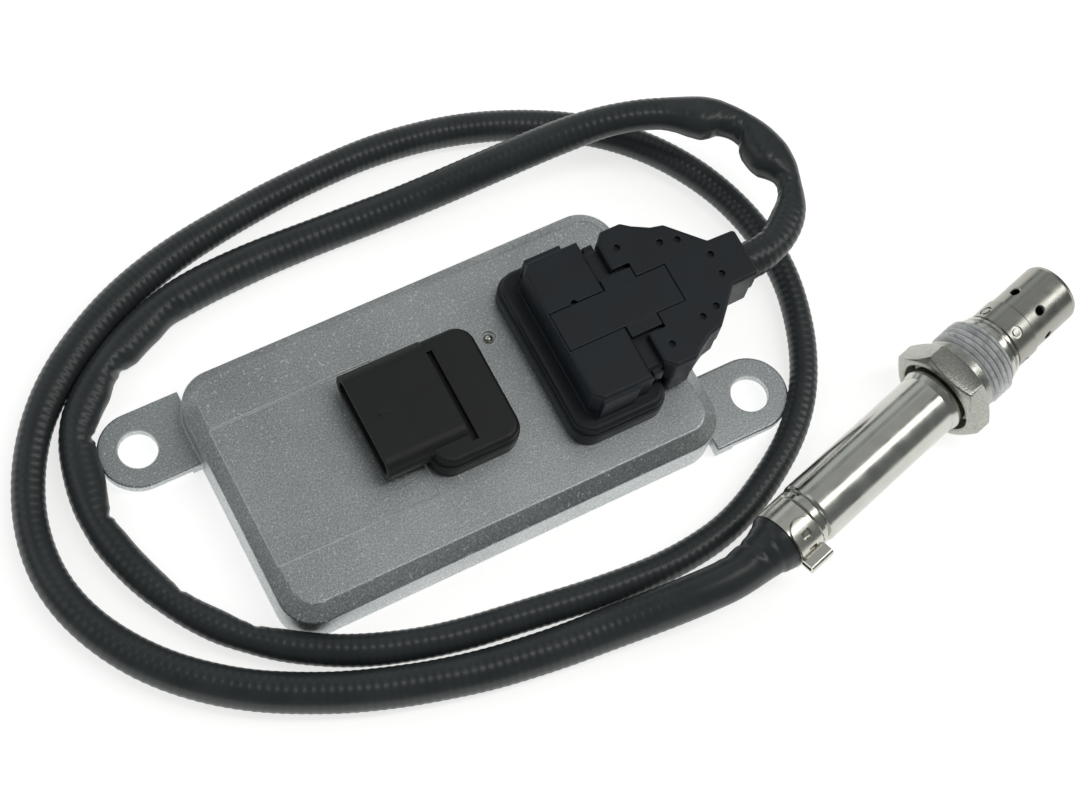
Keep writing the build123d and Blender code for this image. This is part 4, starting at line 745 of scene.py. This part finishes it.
@dataclass
class SleevedCable:
    """The cable: a ribbed conduit under a thin sleeve, along the route of the solid model.

    Lengths are in millimetres, and stations are distances from the exit along the cable.
    """

    diameter: float = 8.0
    segments: int = 30
    rings_per_rib: int = 5
    rib_depth: float = 0.05
    smooth_from: float = 872.0
    smooth_run: float = 14.0
    swell: float = 0.12
    swell_from: float = 70.0
    swell_to: float = 90.0
    side_lean: float = 1.4
    wobble: float = 0.1
    wobbles_per_metre: float = 70.0
    wobble_turn: float = 0.7
    crease_reach: float = 12.0
    least_radius: float = 2.85
    floor_gap: float = 0.04
    smooth_angle: float = 60.0

    # Rows of a station and the distance from rib to rib there.
    ribs: Sequence[Pair] = (
        (0, 1.7), (110, 1.7), (200, 1.9), (300, 1.9), (420, 1.8), (540, 1.55), (640, 1.6),
        (720, 1.95), (910, 1.9),
    )

    # Rows of a station and the sleeve's reach there: nearly all round, and on its left side.
    reaches: Sequence[Point] = (
        (0, 4.4, 4.4), (5, 4.3, 4.3), (9, 3.8, 4.3), (14, 3.5, 4.6), (18, 3.5, 4.4), (21, 3.4, 3.8),
        (24, 3.1, 3.1), (26.5, 2.95, 2.9), (28.5, 3.1, 3.3), (31, 3.5, 5.0), (33, 3.7, 6.4),
        (36, 4.0, 6.9), (39.5, 4.0, 6.6), (42, 3.9, 5.5), (44, 3.8, 4.0), (46, 3.7, 3.9),
        (50, 3.8, 4.4), (52.5, 4.0, 5.8), (55, 4.0, 6.5), (58, 3.8, 6.1), (62, 3.5, 4.9),
        (66, 3.4, 4.1), (72, 3.4, 3.9), (80, 3.6, 3.8), (88, 3.9, 4.0), (100, 4.0, 4.0),
        (140, 4.1, 4.1), (160, 4.25, 4.3), (176, 4.5, 4.5), (186, 4.5, 4.3), (191, 4.35, 3.9),
        (197, 4.2, 4.6), (204, 4.1, 4.6), (209, 4.05, 3.0), (211, 4.05, 3.1), (217, 4.1, 4.3),
        (223, 4.1, 4.1), (227, 3.95, 3.5), (231, 3.8, 4.4), (238, 3.7, 5.1), (244, 3.7, 4.3),
        (249, 3.6, 3.2), (255, 3.7, 3.8), (262, 3.7, 3.8), (268, 3.6, 3.6), (273, 3.4, 3.1),
        (284, 3.4, 3.6), (292, 3.2, 2.95), (300, 3.4, 3.5), (320, 3.5, 3.5), (350, 3.5, 3.5),
        (400, 3.4, 3.4), (425, 3.3, 3.3), (440, 3.15, 3.2), (462, 3.15, 3.2), (480, 3.3, 3.3),
        (515, 3.35, 3.6), (545, 3.4, 3.75), (570, 3.6, 3.6), (600, 3.5, 3.5), (640, 3.75, 3.8),
        (655, 3.85, 4.15), (668, 3.8, 4.2), (682, 3.7, 4.15), (698, 3.6, 3.7), (715, 3.7, 3.7),
        (740, 4.0, 4.0), (770, 4.35, 4.35), (800, 4.45, 4.45), (830, 4.5, 4.5), (860, 4.65, 4.65),
        (880, 4.75, 4.75), (890, 4.8, 4.75), (897, 5.1, 4.9), (901, 5.5, 5.3), (903.5, 6.3, 6.0),
        (906, 6.95, 6.95),
    )

    creases: Sequence[Crease] = (
        Crease(8.5, 0.9, 0.28, 45, 60, -1.0), Crease(25.6, 0.9, 0.3, 45, 80, 1.2),
        Crease(23, 0.8, 0.16, 75, 50, 1.6), Crease(28.5, 0.8, 0.16, 70, 50, -1.6),
        Crease(34, 0.8, 0.15, 75, 48, 2.2), Crease(37, 0.7, 0.17, 72, 48, 1.8),
        Crease(40.5, 0.8, 0.15, 78, 44, 1.2), Crease(44.6, 1.0, 0.4, 45, 85, 1.4),
        Crease(47.5, 0.8, 0.2, 70, 50, -1.2), Crease(51, 0.8, 0.16, 76, 46, -1.8),
        Crease(54.5, 0.8, 0.18, 72, 50, -2.2), Crease(58.5, 0.9, 0.14, 70, 50, -2.4),
        Crease(188, 1.4, 0.22, 30, 60, 1.8), Crease(209.8, 1.2, 0.5, 10, 70, 2.0),
        Crease(228, 1.1, 0.45, 10, 75, 2.0), Crease(248.5, 1.2, 0.4, 10, 70, 1.6),
        Crease(273, 1.5, 0.3, 0, 60, 1.2), Crease(292, 1.5, 0.35, 0, 60, 1.2),
        Crease(899.4, 1.2, 0.3, 60, 120, 0.8), Crease(903.0, 0.8, 0.25, 110, 150, -0.6),
        Crease(894, 1.8, 0.2, 20, 80, 1.0),
    )

    puffs: Sequence[Puff] = (
        Puff(5, 22, -80, 30), Puff(19, 66, -195, 180), Puff(63, 80, -80, 50), Puff(186, 211),
        Puff(211, 229), Puff(229, 249), Puff(250, 273, -75, 25), Puff(275, 292, -75, 18),
        Puff(294, 312, -75, 12), Puff(740, 800, -80, 8),
    )

    # Points that guide the centre line, from the backshell to the probe's boot.
    route: Sequence[Point] = (
        (72.8, 0, 22), (81.6, 0, 22), (90.43, 5.74, 21.7), (95.18, 16.22, 21.2),
        (93.52, 27.57, 20.8), (87.94, 36.29, 20.6), (78.13, 41.99, 20.5), (65.82, 46.03, 20.3),
        (50, 48.64, 16.4), (33.06, 50.81, 10.4), (15, 52.7, 5.6), (-5, 54.1, 4.05),
        (-23, 54.5, 4.05), (-40.1, 53.61, 4.05), (-54.71, 49.72, 4.05), (-67.45, 42.36, 4.05),
        (-76.53, 33.75, 4.05), (-80.4, 22.61, 4.05), (-81.24, 10.56, 4.05), (-78.6, -1.48, 4.05),
        (-73.84, -12.55, 4.05), (-66.14, -23.48, 4.05), (-55.6, -32.41, 4.05),
        (-41.9, -40.06, 4.05), (-24.01, -45.57, 4.05), (-3.96, -48.57, 4.05), (15.52, -51.32, 4.05),
        (30.99, -52.1, 4.05), (45.92, -49.89, 4.05), (59.5, -43.57, 4.05), (70.91, -35.94, 4.05),
        (78.97, -26.9, 4.05), (85.25, -14.4, 4.05), (88.9, -0.02, 4.05), (88.15, 16.01, 4.05),
        (83.01, 30.91, 4.05), (74.17, 44, 4.05), (62.32, 54.33, 4.05), (48.17, 61.68, 4.05),
        (32.43, 66.48, 4.05), (15.49, 68.91, 4.05), (-3.48, 68.55, 4.05), (-22.43, 66.51, 4.05),
        (-40.99, 63.37, 4.05), (-57.55, 57.69, 4.05), (-71.37, 49.86, 4.05), (-82.44, 40.18, 4.05),
        (-90.31, 28.26, 4.05), (-94.87, 15.44, 4.05), (-95.67, 2, 4.05), (-91.42, -11.42, 4.05),
        (-83.28, -23.8, 4.05), (-72.23, -34.05, 4.05), (-58.22, -42.65, 4.05),
        (-41.32, -49.68, 4.05), (-22.2, -55.05, 4.05), (-4.39, -57.86, 4.05), (9.15, -59.06, 4.8),
        (20.73, -60.82, 7.4), (30.62, -61.99, 10), (40.068, -62.362, 11), (50.942, -59.286, 11),
    )

    def centreline(self) -> list[Vector]:
        """Read the centre line from a spline on the route's points.

        Returns:
            The line's points in metres.
        """
        data = bpy.data.curves.new("cable_route", "CURVE")
        data.dimensions = "3D"
        spline = data.splines.new("NURBS")
        spline.points.add(len(self.route) - 1)
        for point, place in zip(spline.points, self.route):
            point.co = (*(v * MM for v in place), 1.0)
        spline.order_u = 3
        spline.use_endpoint_u = True
        data.resolution_u = 40
        guide = bpy.data.objects.new("cable_route", data)
        bpy.context.scene.collection.objects.link(guide)
        bpy.context.view_layer.update()
        depsgraph = bpy.context.evaluated_depsgraph_get()
        mesh = bpy.data.meshes.new_from_object(guide.evaluated_get(depsgraph))
        raw = [v.co.copy() for v in mesh.vertices]
        bpy.data.objects.remove(guide)
        bpy.data.meshes.remove(mesh)
        return raw

    def stations(self, length: float) -> list[float]:
        """List where the rings lie, as many to each rib, so that all ribs look alike.

        Args:
            length: the cable's length in millimetres.

        Returns:
            Distances from the exit in millimetres.
        """
        places = [0.0]
        while places[-1] < length:
            places.append(places[-1] + between(self.ribs, places[-1]) / self.rings_per_rib)
        places[-1] = length
        return places

    @staticmethod
    def walk(raw: list[Vector], stations: list[float]) -> list[Vector]:
        """Find the points of a line at some distances along it.

        Args:
            raw: the line's points in metres.
            stations: rising distances in millimetres.

        Returns:
            The points in metres.
        """
        travelled = [0.0]
        for a, b in zip(raw, raw[1:]):
            travelled.append(travelled[-1] + (b - a).length)
        points, index = [], 0
        for station in stations:
            target = min(station * MM, travelled[-1])
            while index < len(raw) - 2 and travelled[index + 1] < target:
                index += 1
            span = travelled[index + 1] - travelled[index]
            share = (target - travelled[index]) / span if span > 0 else 0.0
            points.append(raw[index].lerp(raw[index + 1], min(max(share, 0.0), 1.0)))
        return points

    def skin(self, ring: int, station: float, angle: float, place: Vector, sides: Pair) -> float:
        """Give the radius at a point of the sleeve.

        Args:
            ring: number of the ring that the point is on.
            station: distance along the cable in millimetres.
            angle: angle round the cable, 0 on its left side and a quarter turn on top.
            place: the centre line's point in metres.
            sides: the ring's reach nearly all round and on its left side in millimetres.

        Returns:
            The radius in metres.
        """
        around, left = sides
        lean = max(0.0, math.cos(angle)) ** self.side_lean
        swell = self.swell * smoothstep(self.swell_from, self.swell_to, station)
        out = around + (left - around) * lean + swell
        ribbed = 1 - smoothstep(self.smooth_from, self.smooth_from + self.smooth_run, station)
        for puff in self.puffs:
            if puff.start < station < puff.end:
                ribbed *= 1 - puff.cover(station, angle)
        out += self.rib_depth * ribbed * math.cos(2 * math.pi * ring / self.rings_per_rib)
        round_about = Vector((math.cos(angle), math.sin(angle), 0)) * self.wobble_turn
        out += self.wobble * noise.noise(place * self.wobbles_per_metre + round_about)
        for crease in self.creases:
            if abs(station - crease.station) < self.crease_reach:
                out += crease.rise(station, angle)
        return max(out, self.least_radius) * MM

    def rings(self, stations: list[float], line: list[Vector]) -> list[Vector]:
        """Lay rings of points round the centre line.

        Args:
            stations: the rings' distances from the exit in millimetres.
            line: the centre line's points there in metres.

        Returns:
            The points in metres, ring by ring.
        """
        points = []
        around = [(station, reach) for station, reach, _ in self.reaches]
        left_side = [(station, reach) for station, _, reach in self.reaches]
        up = Vector((0, 0, 1))
        last = len(line) - 1
        for k, (station, centre) in enumerate(zip(stations, line)):
            ahead = (line[min(k + 1, last)] - line[max(k - 1, 0)]).normalized()
            left = up.cross(ahead).normalized()
            top = ahead.cross(left)
            sides = between(around, station), between(left_side, station)
            for j in range(self.segments):
                angle = 2 * math.pi * j / self.segments
                reach = self.skin(k, station, angle, centre, sides)
                point = centre + (left * math.cos(angle) + top * math.sin(angle)) * reach
                point.z = max(point.z, self.floor_gap * MM)
                points.append(point)
        return points

    def faces(self, count: int) -> list[tuple[int, ...]]:
        """Join rings of points by faces, and close the first and the last ring.

        Args:
            count: how many rings there are.

        Returns:
            The faces, as numbers of their points.
        """
        around = self.segments
        faces = []
        for k in range(count - 1):
            for j in range(around):
                a, b = k * around + j, k * around + (j + 1) % around
                faces.append((a, b, b + around, a + around))
        faces.append(tuple(reversed(range(around))))
        faces.append(tuple(range((count - 1) * around, count * around)))
        return faces

    def build(self, finish: bpy.types.Material) -> bpy.types.Object:
        """Args:
            finish: the sleeve's material.

        Returns:
            The cable.
        """
        raw = self.centreline()
        length = sum((b - a).length for a, b in zip(raw, raw[1:]))
        stations = self.stations(length / MM)
        line = self.walk(raw, stations)
        mesh = bpy.data.meshes.new("cable_sleeve")
        mesh.from_pydata(self.rings(stations, line), [], self.faces(len(line)))
        mesh.validate()
        cable = bpy.data.objects.new("cable_sleeve", mesh)
        bpy.context.scene.collection.objects.link(cable)
        Bench.take(cable)
        bpy.ops.object.mode_set(mode="EDIT")
        bpy.ops.mesh.select_all(action="SELECT")
        bpy.ops.mesh.normals_make_consistent(inside=False)
        bpy.ops.object.mode_set(mode="OBJECT")
        Bench.smooth(cable, self.smooth_angle)
        Bench.dress(cable, finish)
        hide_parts("cable")
        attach(cable, Body.UNIT.value)
        return cable


def slope(rows: Sequence[Pair], row: int) -> float:
    """Give the slope of a table's curve at one of its rows.

    Args:
        rows: (place, value) rows with rising places.
        row: number of the row.

    Returns:
        0 at a peak or an end, and otherwise a slope between those on both sides.
    """
    if row in (0, len(rows) - 1):
        return 0.0
    (s0, v0), (s1, v1), (s2, v2) = rows[row - 1 : row + 2]
    before, after = (v1 - v0) / (s1 - s0), (v2 - v1) / (s2 - s1)
    return 2 * before * after / (before + after) if before * after > 0 else 0.0


def between(rows: Sequence[Pair], place: float) -> float:
    """Read a table on a smooth curve that never overshoots its rows.

    Args:
        rows: (place, value) rows with rising places.
        place: where the table is read.

    Returns:
        The value there, which is the last row's past the end.
    """
    for row, ((s0, v0), (s1, v1)) in enumerate(zip(rows, rows[1:])):
        if place <= s1:
            run = s1 - s0
            t = max(0.0, (place - s0) / run)
            rise = (3 - 2 * t) * t * t
            bend = slope(rows, row) * t * (1 - t) ** 2 - slope(rows, row + 1) * t * t * (1 - t)
            return v0 + (v1 - v0) * rise + run * bend
    return rows[-1][1]


def smoothstep(low: float, high: float, value: float) -> float:
    """Rise smoothly from 0 at low to 1 at high."""
    t = min(max((value - low) / (high - low), 0.0), 1.0)
    return t * t * (3 - 2 * t)


@dataclass
class UnionNut:
    """Union nut: chamfered hexagon, relief and an M20 x 1.5 thread, in millimetres."""

    segments: int = 120
    flats: float = 22.0
    rear: float = 41.0
    hex_length: float = 6.6
    hex_chamfer: float = 0.5
    hex_chamfer_angle: float = 30.0
    hex_softening: float = 0.18
    front: float = 58.2
    neck_drop: float = 0.35
    neck_overlap: float = 1.0
    relief_slope: float = 0.3
    relief_end: float = 50.3
    recess: float = 18.4
    recess_depth: float = 4.0
    recess_slope: float = 0.8
    mouth: float = 0.35
    mouth_depth: float = 0.34
    bore: float = 14.38

    # The thread: its depths as shares of the pitch, its flanks, and how it begins and ends.
    major: float = 20.0
    pitch: float = 1.5
    ring_step: float = 0.15
    root_share: float = 0.65
    depth_share: float = 0.61
    flank: float = 2.6
    root_width: float = 0.15
    lead_run: float = 0.8
    lead_drop: float = 0.9
    nose_run: float = 1.2
    nose_drop: float = 1.15

    # The paste lies on all that is further out than the bore by the wall, and fades in where the
    # thread begins. A higher power makes the painted shade in its grooves narrower.
    wall: float = 0.6
    paste_fade: float = 0.5
    groove_power: int = 5
    smooth_angle: float = 32.0

    def thread_profile(self) -> list[Pair]:
        """List the rings of the nut's outside, close together where the thread is cut.

        Returns:
            (radius, station) pairs in millimetres.
        """
        neck = self.major / 2 - self.neck_drop
        rings = [
            (neck, self.rear + self.hex_length - self.neck_overlap),
            (neck, self.relief_end - self.relief_slope),
            (self.major / 2 - self.root_share * self.pitch, self.relief_end),
        ]
        run = self.front - self.relief_end
        count = int(run / self.ring_step)
        for k in range(count + 1):
            rings.append((self.major / 2, self.relief_end + run * k / count))
        return rings

    def ridge(self, point: Vector) -> float:
        """Give how near a point of the piece along Z is to the thread's crest.

        Args:
            point: the point in metres.

        Returns:
            A share from 0 in the groove to 1 on the crest.
        """
        turn = math.atan2(point.y, point.x) / (2 * math.pi)
        phase = (point.z / MM / self.pitch - turn) % 1.0
        return min(1.0, max(0.0, abs(phase - 0.5) * self.flank - self.root_width))

    def cut_thread(self, piece: bpy.types.Object) -> None:
        """Move the outer rings in and out along a helix.

        Args:
            piece: the turned nut along Z.
        """
        crest = self.major / 2
        depth = self.depth_share * self.pitch
        first = self.relief_end - 0.01
        for vertex in piece.data.vertices:
            station = vertex.co.z / MM
            if station < first:
                continue
            lead = smoothstep(self.relief_end, self.relief_end + self.lead_run, station)
            nose = smoothstep(self.front, self.front - self.nose_run, station)
            radius = min(
                crest - depth * (1 - self.ridge(vertex.co)),
                crest - self.nose_drop * (1 - nose),
                crest - self.lead_drop * (1 - lead),
            )
            scale = radius / (vertex.co.xy.length / MM)
            vertex.co.x *= scale
            vertex.co.y *= scale

    def hexagon(self) -> bpy.types.Object:
        """Make the hexagon with both its ends chamfered.

        Returns:
            The hexagon along Z.
        """
        Bench.clear()
        flat = self.flats / 2
        corner = flat / math.cos(math.radians(30))
        middle = self.rear + self.hex_length / 2
        bpy.ops.mesh.primitive_cylinder_add(
            vertices=6,
            radius=corner * MM,
            depth=self.hex_length * MM,
            location=(0, 0, middle * MM),
        )
        piece = bpy.context.object
        bpy.ops.object.transform_apply(location=True, rotation=True, scale=True)
        end = self.rear + self.hex_length
        slant = math.tan(math.radians(self.hex_chamfer_angle))
        drop = (corner - flat + self.hex_chamfer) * slant
        inside, outside, past_end = flat - self.hex_chamfer, corner + 0.02, 0.001
        chamfers = [
            (inside, self.rear - past_end),
            (outside, self.rear + drop),
            (outside, end - drop),
            (inside, end + past_end),
        ]
        Bench.cut(piece, Bench.turned("chamfer", chamfers, self.segments), Cut.SHARED)
        Bench.soften(piece, self.hex_softening)
        return piece

    def bore_tool(self) -> bpy.types.Object:
        """Make the tool that cuts the recess and the bore.

        Returns:
            The tool along Z.
        """
        recess, bore = self.recess / 2, self.bore / 2
        floor = self.rear + self.recess_depth
        behind, lip, ahead = self.rear - 0.5, self.rear - 0.01, self.front + 1.0
        profile = [
            (recess + self.mouth, behind),
            (recess + self.mouth, lip),
            (recess, self.rear + self.mouth_depth),
            (recess, floor),
            (bore, floor + self.recess_slope),
            (bore, ahead),
        ]
        return Bench.turned("bore", profile, self.segments)

    def mark(self, piece: bpy.types.Object) -> None:
        """Store in the mesh where the thread has paste, and where its grooves take painted shade.

        Args:
            piece: the finished nut along Z.
        """
        piece.data.attributes.new("paste", "FLOAT", "POINT")
        piece.data.attributes.new("groove", "FLOAT", "POINT")
        paste, groove = piece.data.attributes["paste"], piece.data.attributes["groove"]
        start, end = self.relief_end - self.paste_fade, self.relief_end + self.paste_fade
        for vertex in piece.data.vertices:
            outer = vertex.co.xy.length / MM > self.bore / 2 + self.wall
            amount = float(outer) * smoothstep(start, end, vertex.co.z / MM)
            # How far down the groove a point lies: the share of painted shade there.
            depth = (1 - self.ridge(vertex.co)) ** self.groove_power
            paste.data[vertex.index].value = amount
            groove.data[vertex.index].value = amount * depth

    def build(self, finish: bpy.types.Material) -> bpy.types.Object:
        """Make the nut.

        Args:
            finish: the nut's material.

        Returns:
            The nut, in place.
        """
        nut = Bench.turned("union_nut_turned", self.thread_profile(), self.segments)
        self.cut_thread(nut)
        Bench.cut(nut, self.hexagon(), Cut.JOIN)
        Bench.cut(nut, self.bore_tool())
        self.mark(nut)
        Bench.smooth(nut, self.smooth_angle)
        Bench.settle(nut, PROBE.matrix())
        Bench.dress(nut, finish)
        nut.name = "union_nut_threaded"
        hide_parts("union_nut")
        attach(nut, Body.NUT.value)
        return nut


@dataclass(frozen=True)
class SoftLight:
    """One soft rectangular light: its place, target and size in metres, its power and colour."""

    name: str
    place: Point
    target: Point
    size: Pair
    watts: float
    tint: Point = (1, 1, 1)

    def hang(self) -> None:
        """Hang the light in the room."""
        data = bpy.data.lights.new(self.name, "AREA")
        data.shape, data.size, data.size_y = "RECTANGLE", self.size[0], self.size[1]
        data.energy, data.color = self.watts, self.tint
        light = bpy.data.objects.new(self.name, data)
        place = Vector(self.place)
        aim = (Vector(self.target) - place).to_track_quat("-Z", "Y")
        light.matrix_world = Matrix.Translation(place) @ aim.to_matrix().to_4x4()
        bpy.context.scene.collection.objects.link(light)


@dataclass
class Studio:
    """Pale floor, soft lights and the photograph's camera."""

    # The camera that was fitted to the photograph: its eye is in millimetres, and its turn is an
    # axis whose length is the angle in radians.
    focal: float = 82.573
    film: float = 36.0
    eye: Point = (-135.1, -165.2, 522.5)
    turn: Point = (2.70331617, -0.64071593, 0.29343321)

    floor_size: float = 6.0
    floor_colour: Point = (0.86, 0.86, 0.86)
    floor_glow: Point = (1.0, 1.0, 0.985)
    floor_glow_strength: float = 0.7
    room_colour: Point = (0.95, 1.0, 1.0)
    room_strength: float = 0.17
    lights: Sequence[SoftLight] = (
        SoftLight(
            "strip_key", (0.572, -0.223, 0.861), (0.085, -0.05, 0.011), (0.19, 1.2), 2.7,
            (1, 1, 0.98),
        ),
        SoftLight("panel_back_low", (-0.2, 1.3, 0.6), (0, 0, 0.05), (2.4, 0.55), 1.2, (0.95, 1, 1)),
        SoftLight(
            "panel_back_high", (-0.2, 1.25, 0.85), (0, 0, 0.05), (2.4, 1.2), 1.55, (0.95, 1, 1)
        ),
        SoftLight("soft_left", (-0.75, 0.35, 0.95), (0, 0, 0), (0.7, 0.7), 0.9),
        SoftLight("panel_right", (0.5, 0.4, 0.85), (0.04, 0, 0.02), (0.6, 0.6), 0.3),
    )

    def camera(self) -> None:
        """Set the camera."""
        axis = Vector(self.turn)
        view = Matrix.Rotation(axis.length, 3, axis.normalized()).transposed()
        flip = Matrix.Diagonal(Vector((1, -1, -1)))
        data = bpy.data.cameras.new("camera")
        data.lens, data.sensor_width, data.sensor_fit = self.focal, self.film, "HORIZONTAL"
        data.clip_start, data.clip_end = 0.01, 20.0
        camera = bpy.data.objects.new("camera", data)
        camera.matrix_world = Matrix.Translation(Vector(self.eye) * MM) @ (view @ flip).to_4x4()
        bpy.context.scene.collection.objects.link(camera)
        bpy.context.scene.camera = camera

    def floor(self) -> None:
        """Lay the floor."""
        Bench.clear()
        bpy.ops.mesh.primitive_plane_add(size=self.floor_size)
        floor = bpy.context.object
        floor.name = "studio_floor"
        shader = Shader("pale_floor")
        shader.set(
            Base_Color=(*self.floor_colour, 1),
            Roughness=0.85,
            Specular_IOR_Level=0.15,
            Emission_Color=(*self.floor_glow, 1),
            Emission_Strength=self.floor_glow_strength,
        )
        Bench.dress(floor, shader.material)

    def room(self) -> None:
        """Fill the room with an even pale light."""
        world = bpy.data.worlds.new("room")
        world.use_nodes = True
        back = world.node_tree.nodes["Background"]
        back.inputs["Color"].default_value = (*self.room_colour, 1)
        back.inputs["Strength"].default_value = self.room_strength
        bpy.context.scene.world = world

    def build(self) -> None:
        """Set the stage."""
        self.camera()
        self.floor()
        self.room()
        for light in self.lights:
            light.hang()
        bpy.context.scene.view_settings.view_transform = "Standard"


@dataclass
class Finishes:
    """All finishes of the object, by the record's slot."""

    made: dict[str, bpy.types.Material] = field(default_factory=dict)

    def build(self) -> None:
        """Make every finish."""
        socket_dark, socket_light = (0.009, 0.0092, 0.0098), (0.014, 0.0144, 0.0152)
        finishes = {
            "die_cast_aluminium": CastFinish(),
            "plate_aluminium": PlainFinish("cover_plate", (0.55, 0.55, 0.55), 1.0, 0.4),
            "header_plastic": MouldedFinish("socket_moulding", socket_dark, socket_light),
            "plug_plastic": MouldedFinish("plug_moulding"),
            "black_rubber": MouldedFinish("boot_rubber", roughness=0.4),
            "cable_sleeve": SleeveFinish(),
            "grey_silicone": PlainFinish("grey_silicone", (0.25, 0.26, 0.27)),
            "bright_steel": SteelFinish("strip_steel", (0.76, 0.745, 0.68), 0.24),
            "polished_steel": SteelFinish("polished_tube", (0.62, 0.62, 0.575), 0.19),
            "turned_steel": SteelFinish("turned_body", (0.60, 0.60, 0.56), 0.18),
            "nut_steel": PasteFinish(),
            "cap_steel": SteelFinish("drawn_cap", (0.41, 0.405, 0.37), 0.27),
            "zinc_steel": PlainFinish("zinc_plate", (0.6, 0.6, 0.58), 1.0, 0.35),
            "can_aluminium": PlainFinish("capacitor_can", (0.7, 0.7, 0.7), 1.0, 0.3),
            "tinned_brass": PlainFinish("tinned_contact", (0.70, 0.66, 0.52), 1.0, 0.25),
            "circuit_laminate": PlainFinish("solder_mask", (0.02, 0.16, 0.06), 0.0, 0.35),
            "chip_epoxy": PlainFinish("chip_epoxy", (0.02, 0.02, 0.02)),
            "ferrite": PlainFinish("ferrite", (0.06, 0.06, 0.06), 0.0, 0.6),
            "wire_insulation": PlainFinish("wire_insulation", (0.3, 0.3, 0.32)),
            "white_ceramic": PlainFinish("fired_ceramic", (0.8, 0.79, 0.75), 0.0, 0.4),
            "pressed_powder": PlainFinish("pressed_talc", (0.62, 0.6, 0.56), 0.0, 0.8),
        }
        self.made = {slot: finish.build() for slot, finish in finishes.items()}

    def dress_nodes(self, frame: dict) -> None:
        """Give every node of the solid model its finish.

        Args:
            frame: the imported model, as it was loaded.
        """
        slots = {s["node"]: s["material_slot"] for s in frame["record"]["subparts"]}
        for name, piece in frame["nodes"].items():
            Bench.dress(piece, self.made[slots[name]])
            LOG.info("%s: %s", name, slots[name])


def main() -> None:
    """Build the scene."""
    logging.basicConfig(level=logging.INFO)
    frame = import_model()
    Studio().build()
    finishes = Finishes()
    finishes.build()
    finishes.dress_nodes(frame)
    cable = SleevedCable().build(finishes.made[Slot.SLEEVE.value])
    nut = UnionNut().build(finishes.made[Slot.NUT.value])
    for piece in (cable, nut):
        LOG.info("%s: %d faces", piece.name, len(piece.data.polygons))
    Bench.clear()


if __name__ == "__main__":
    main()
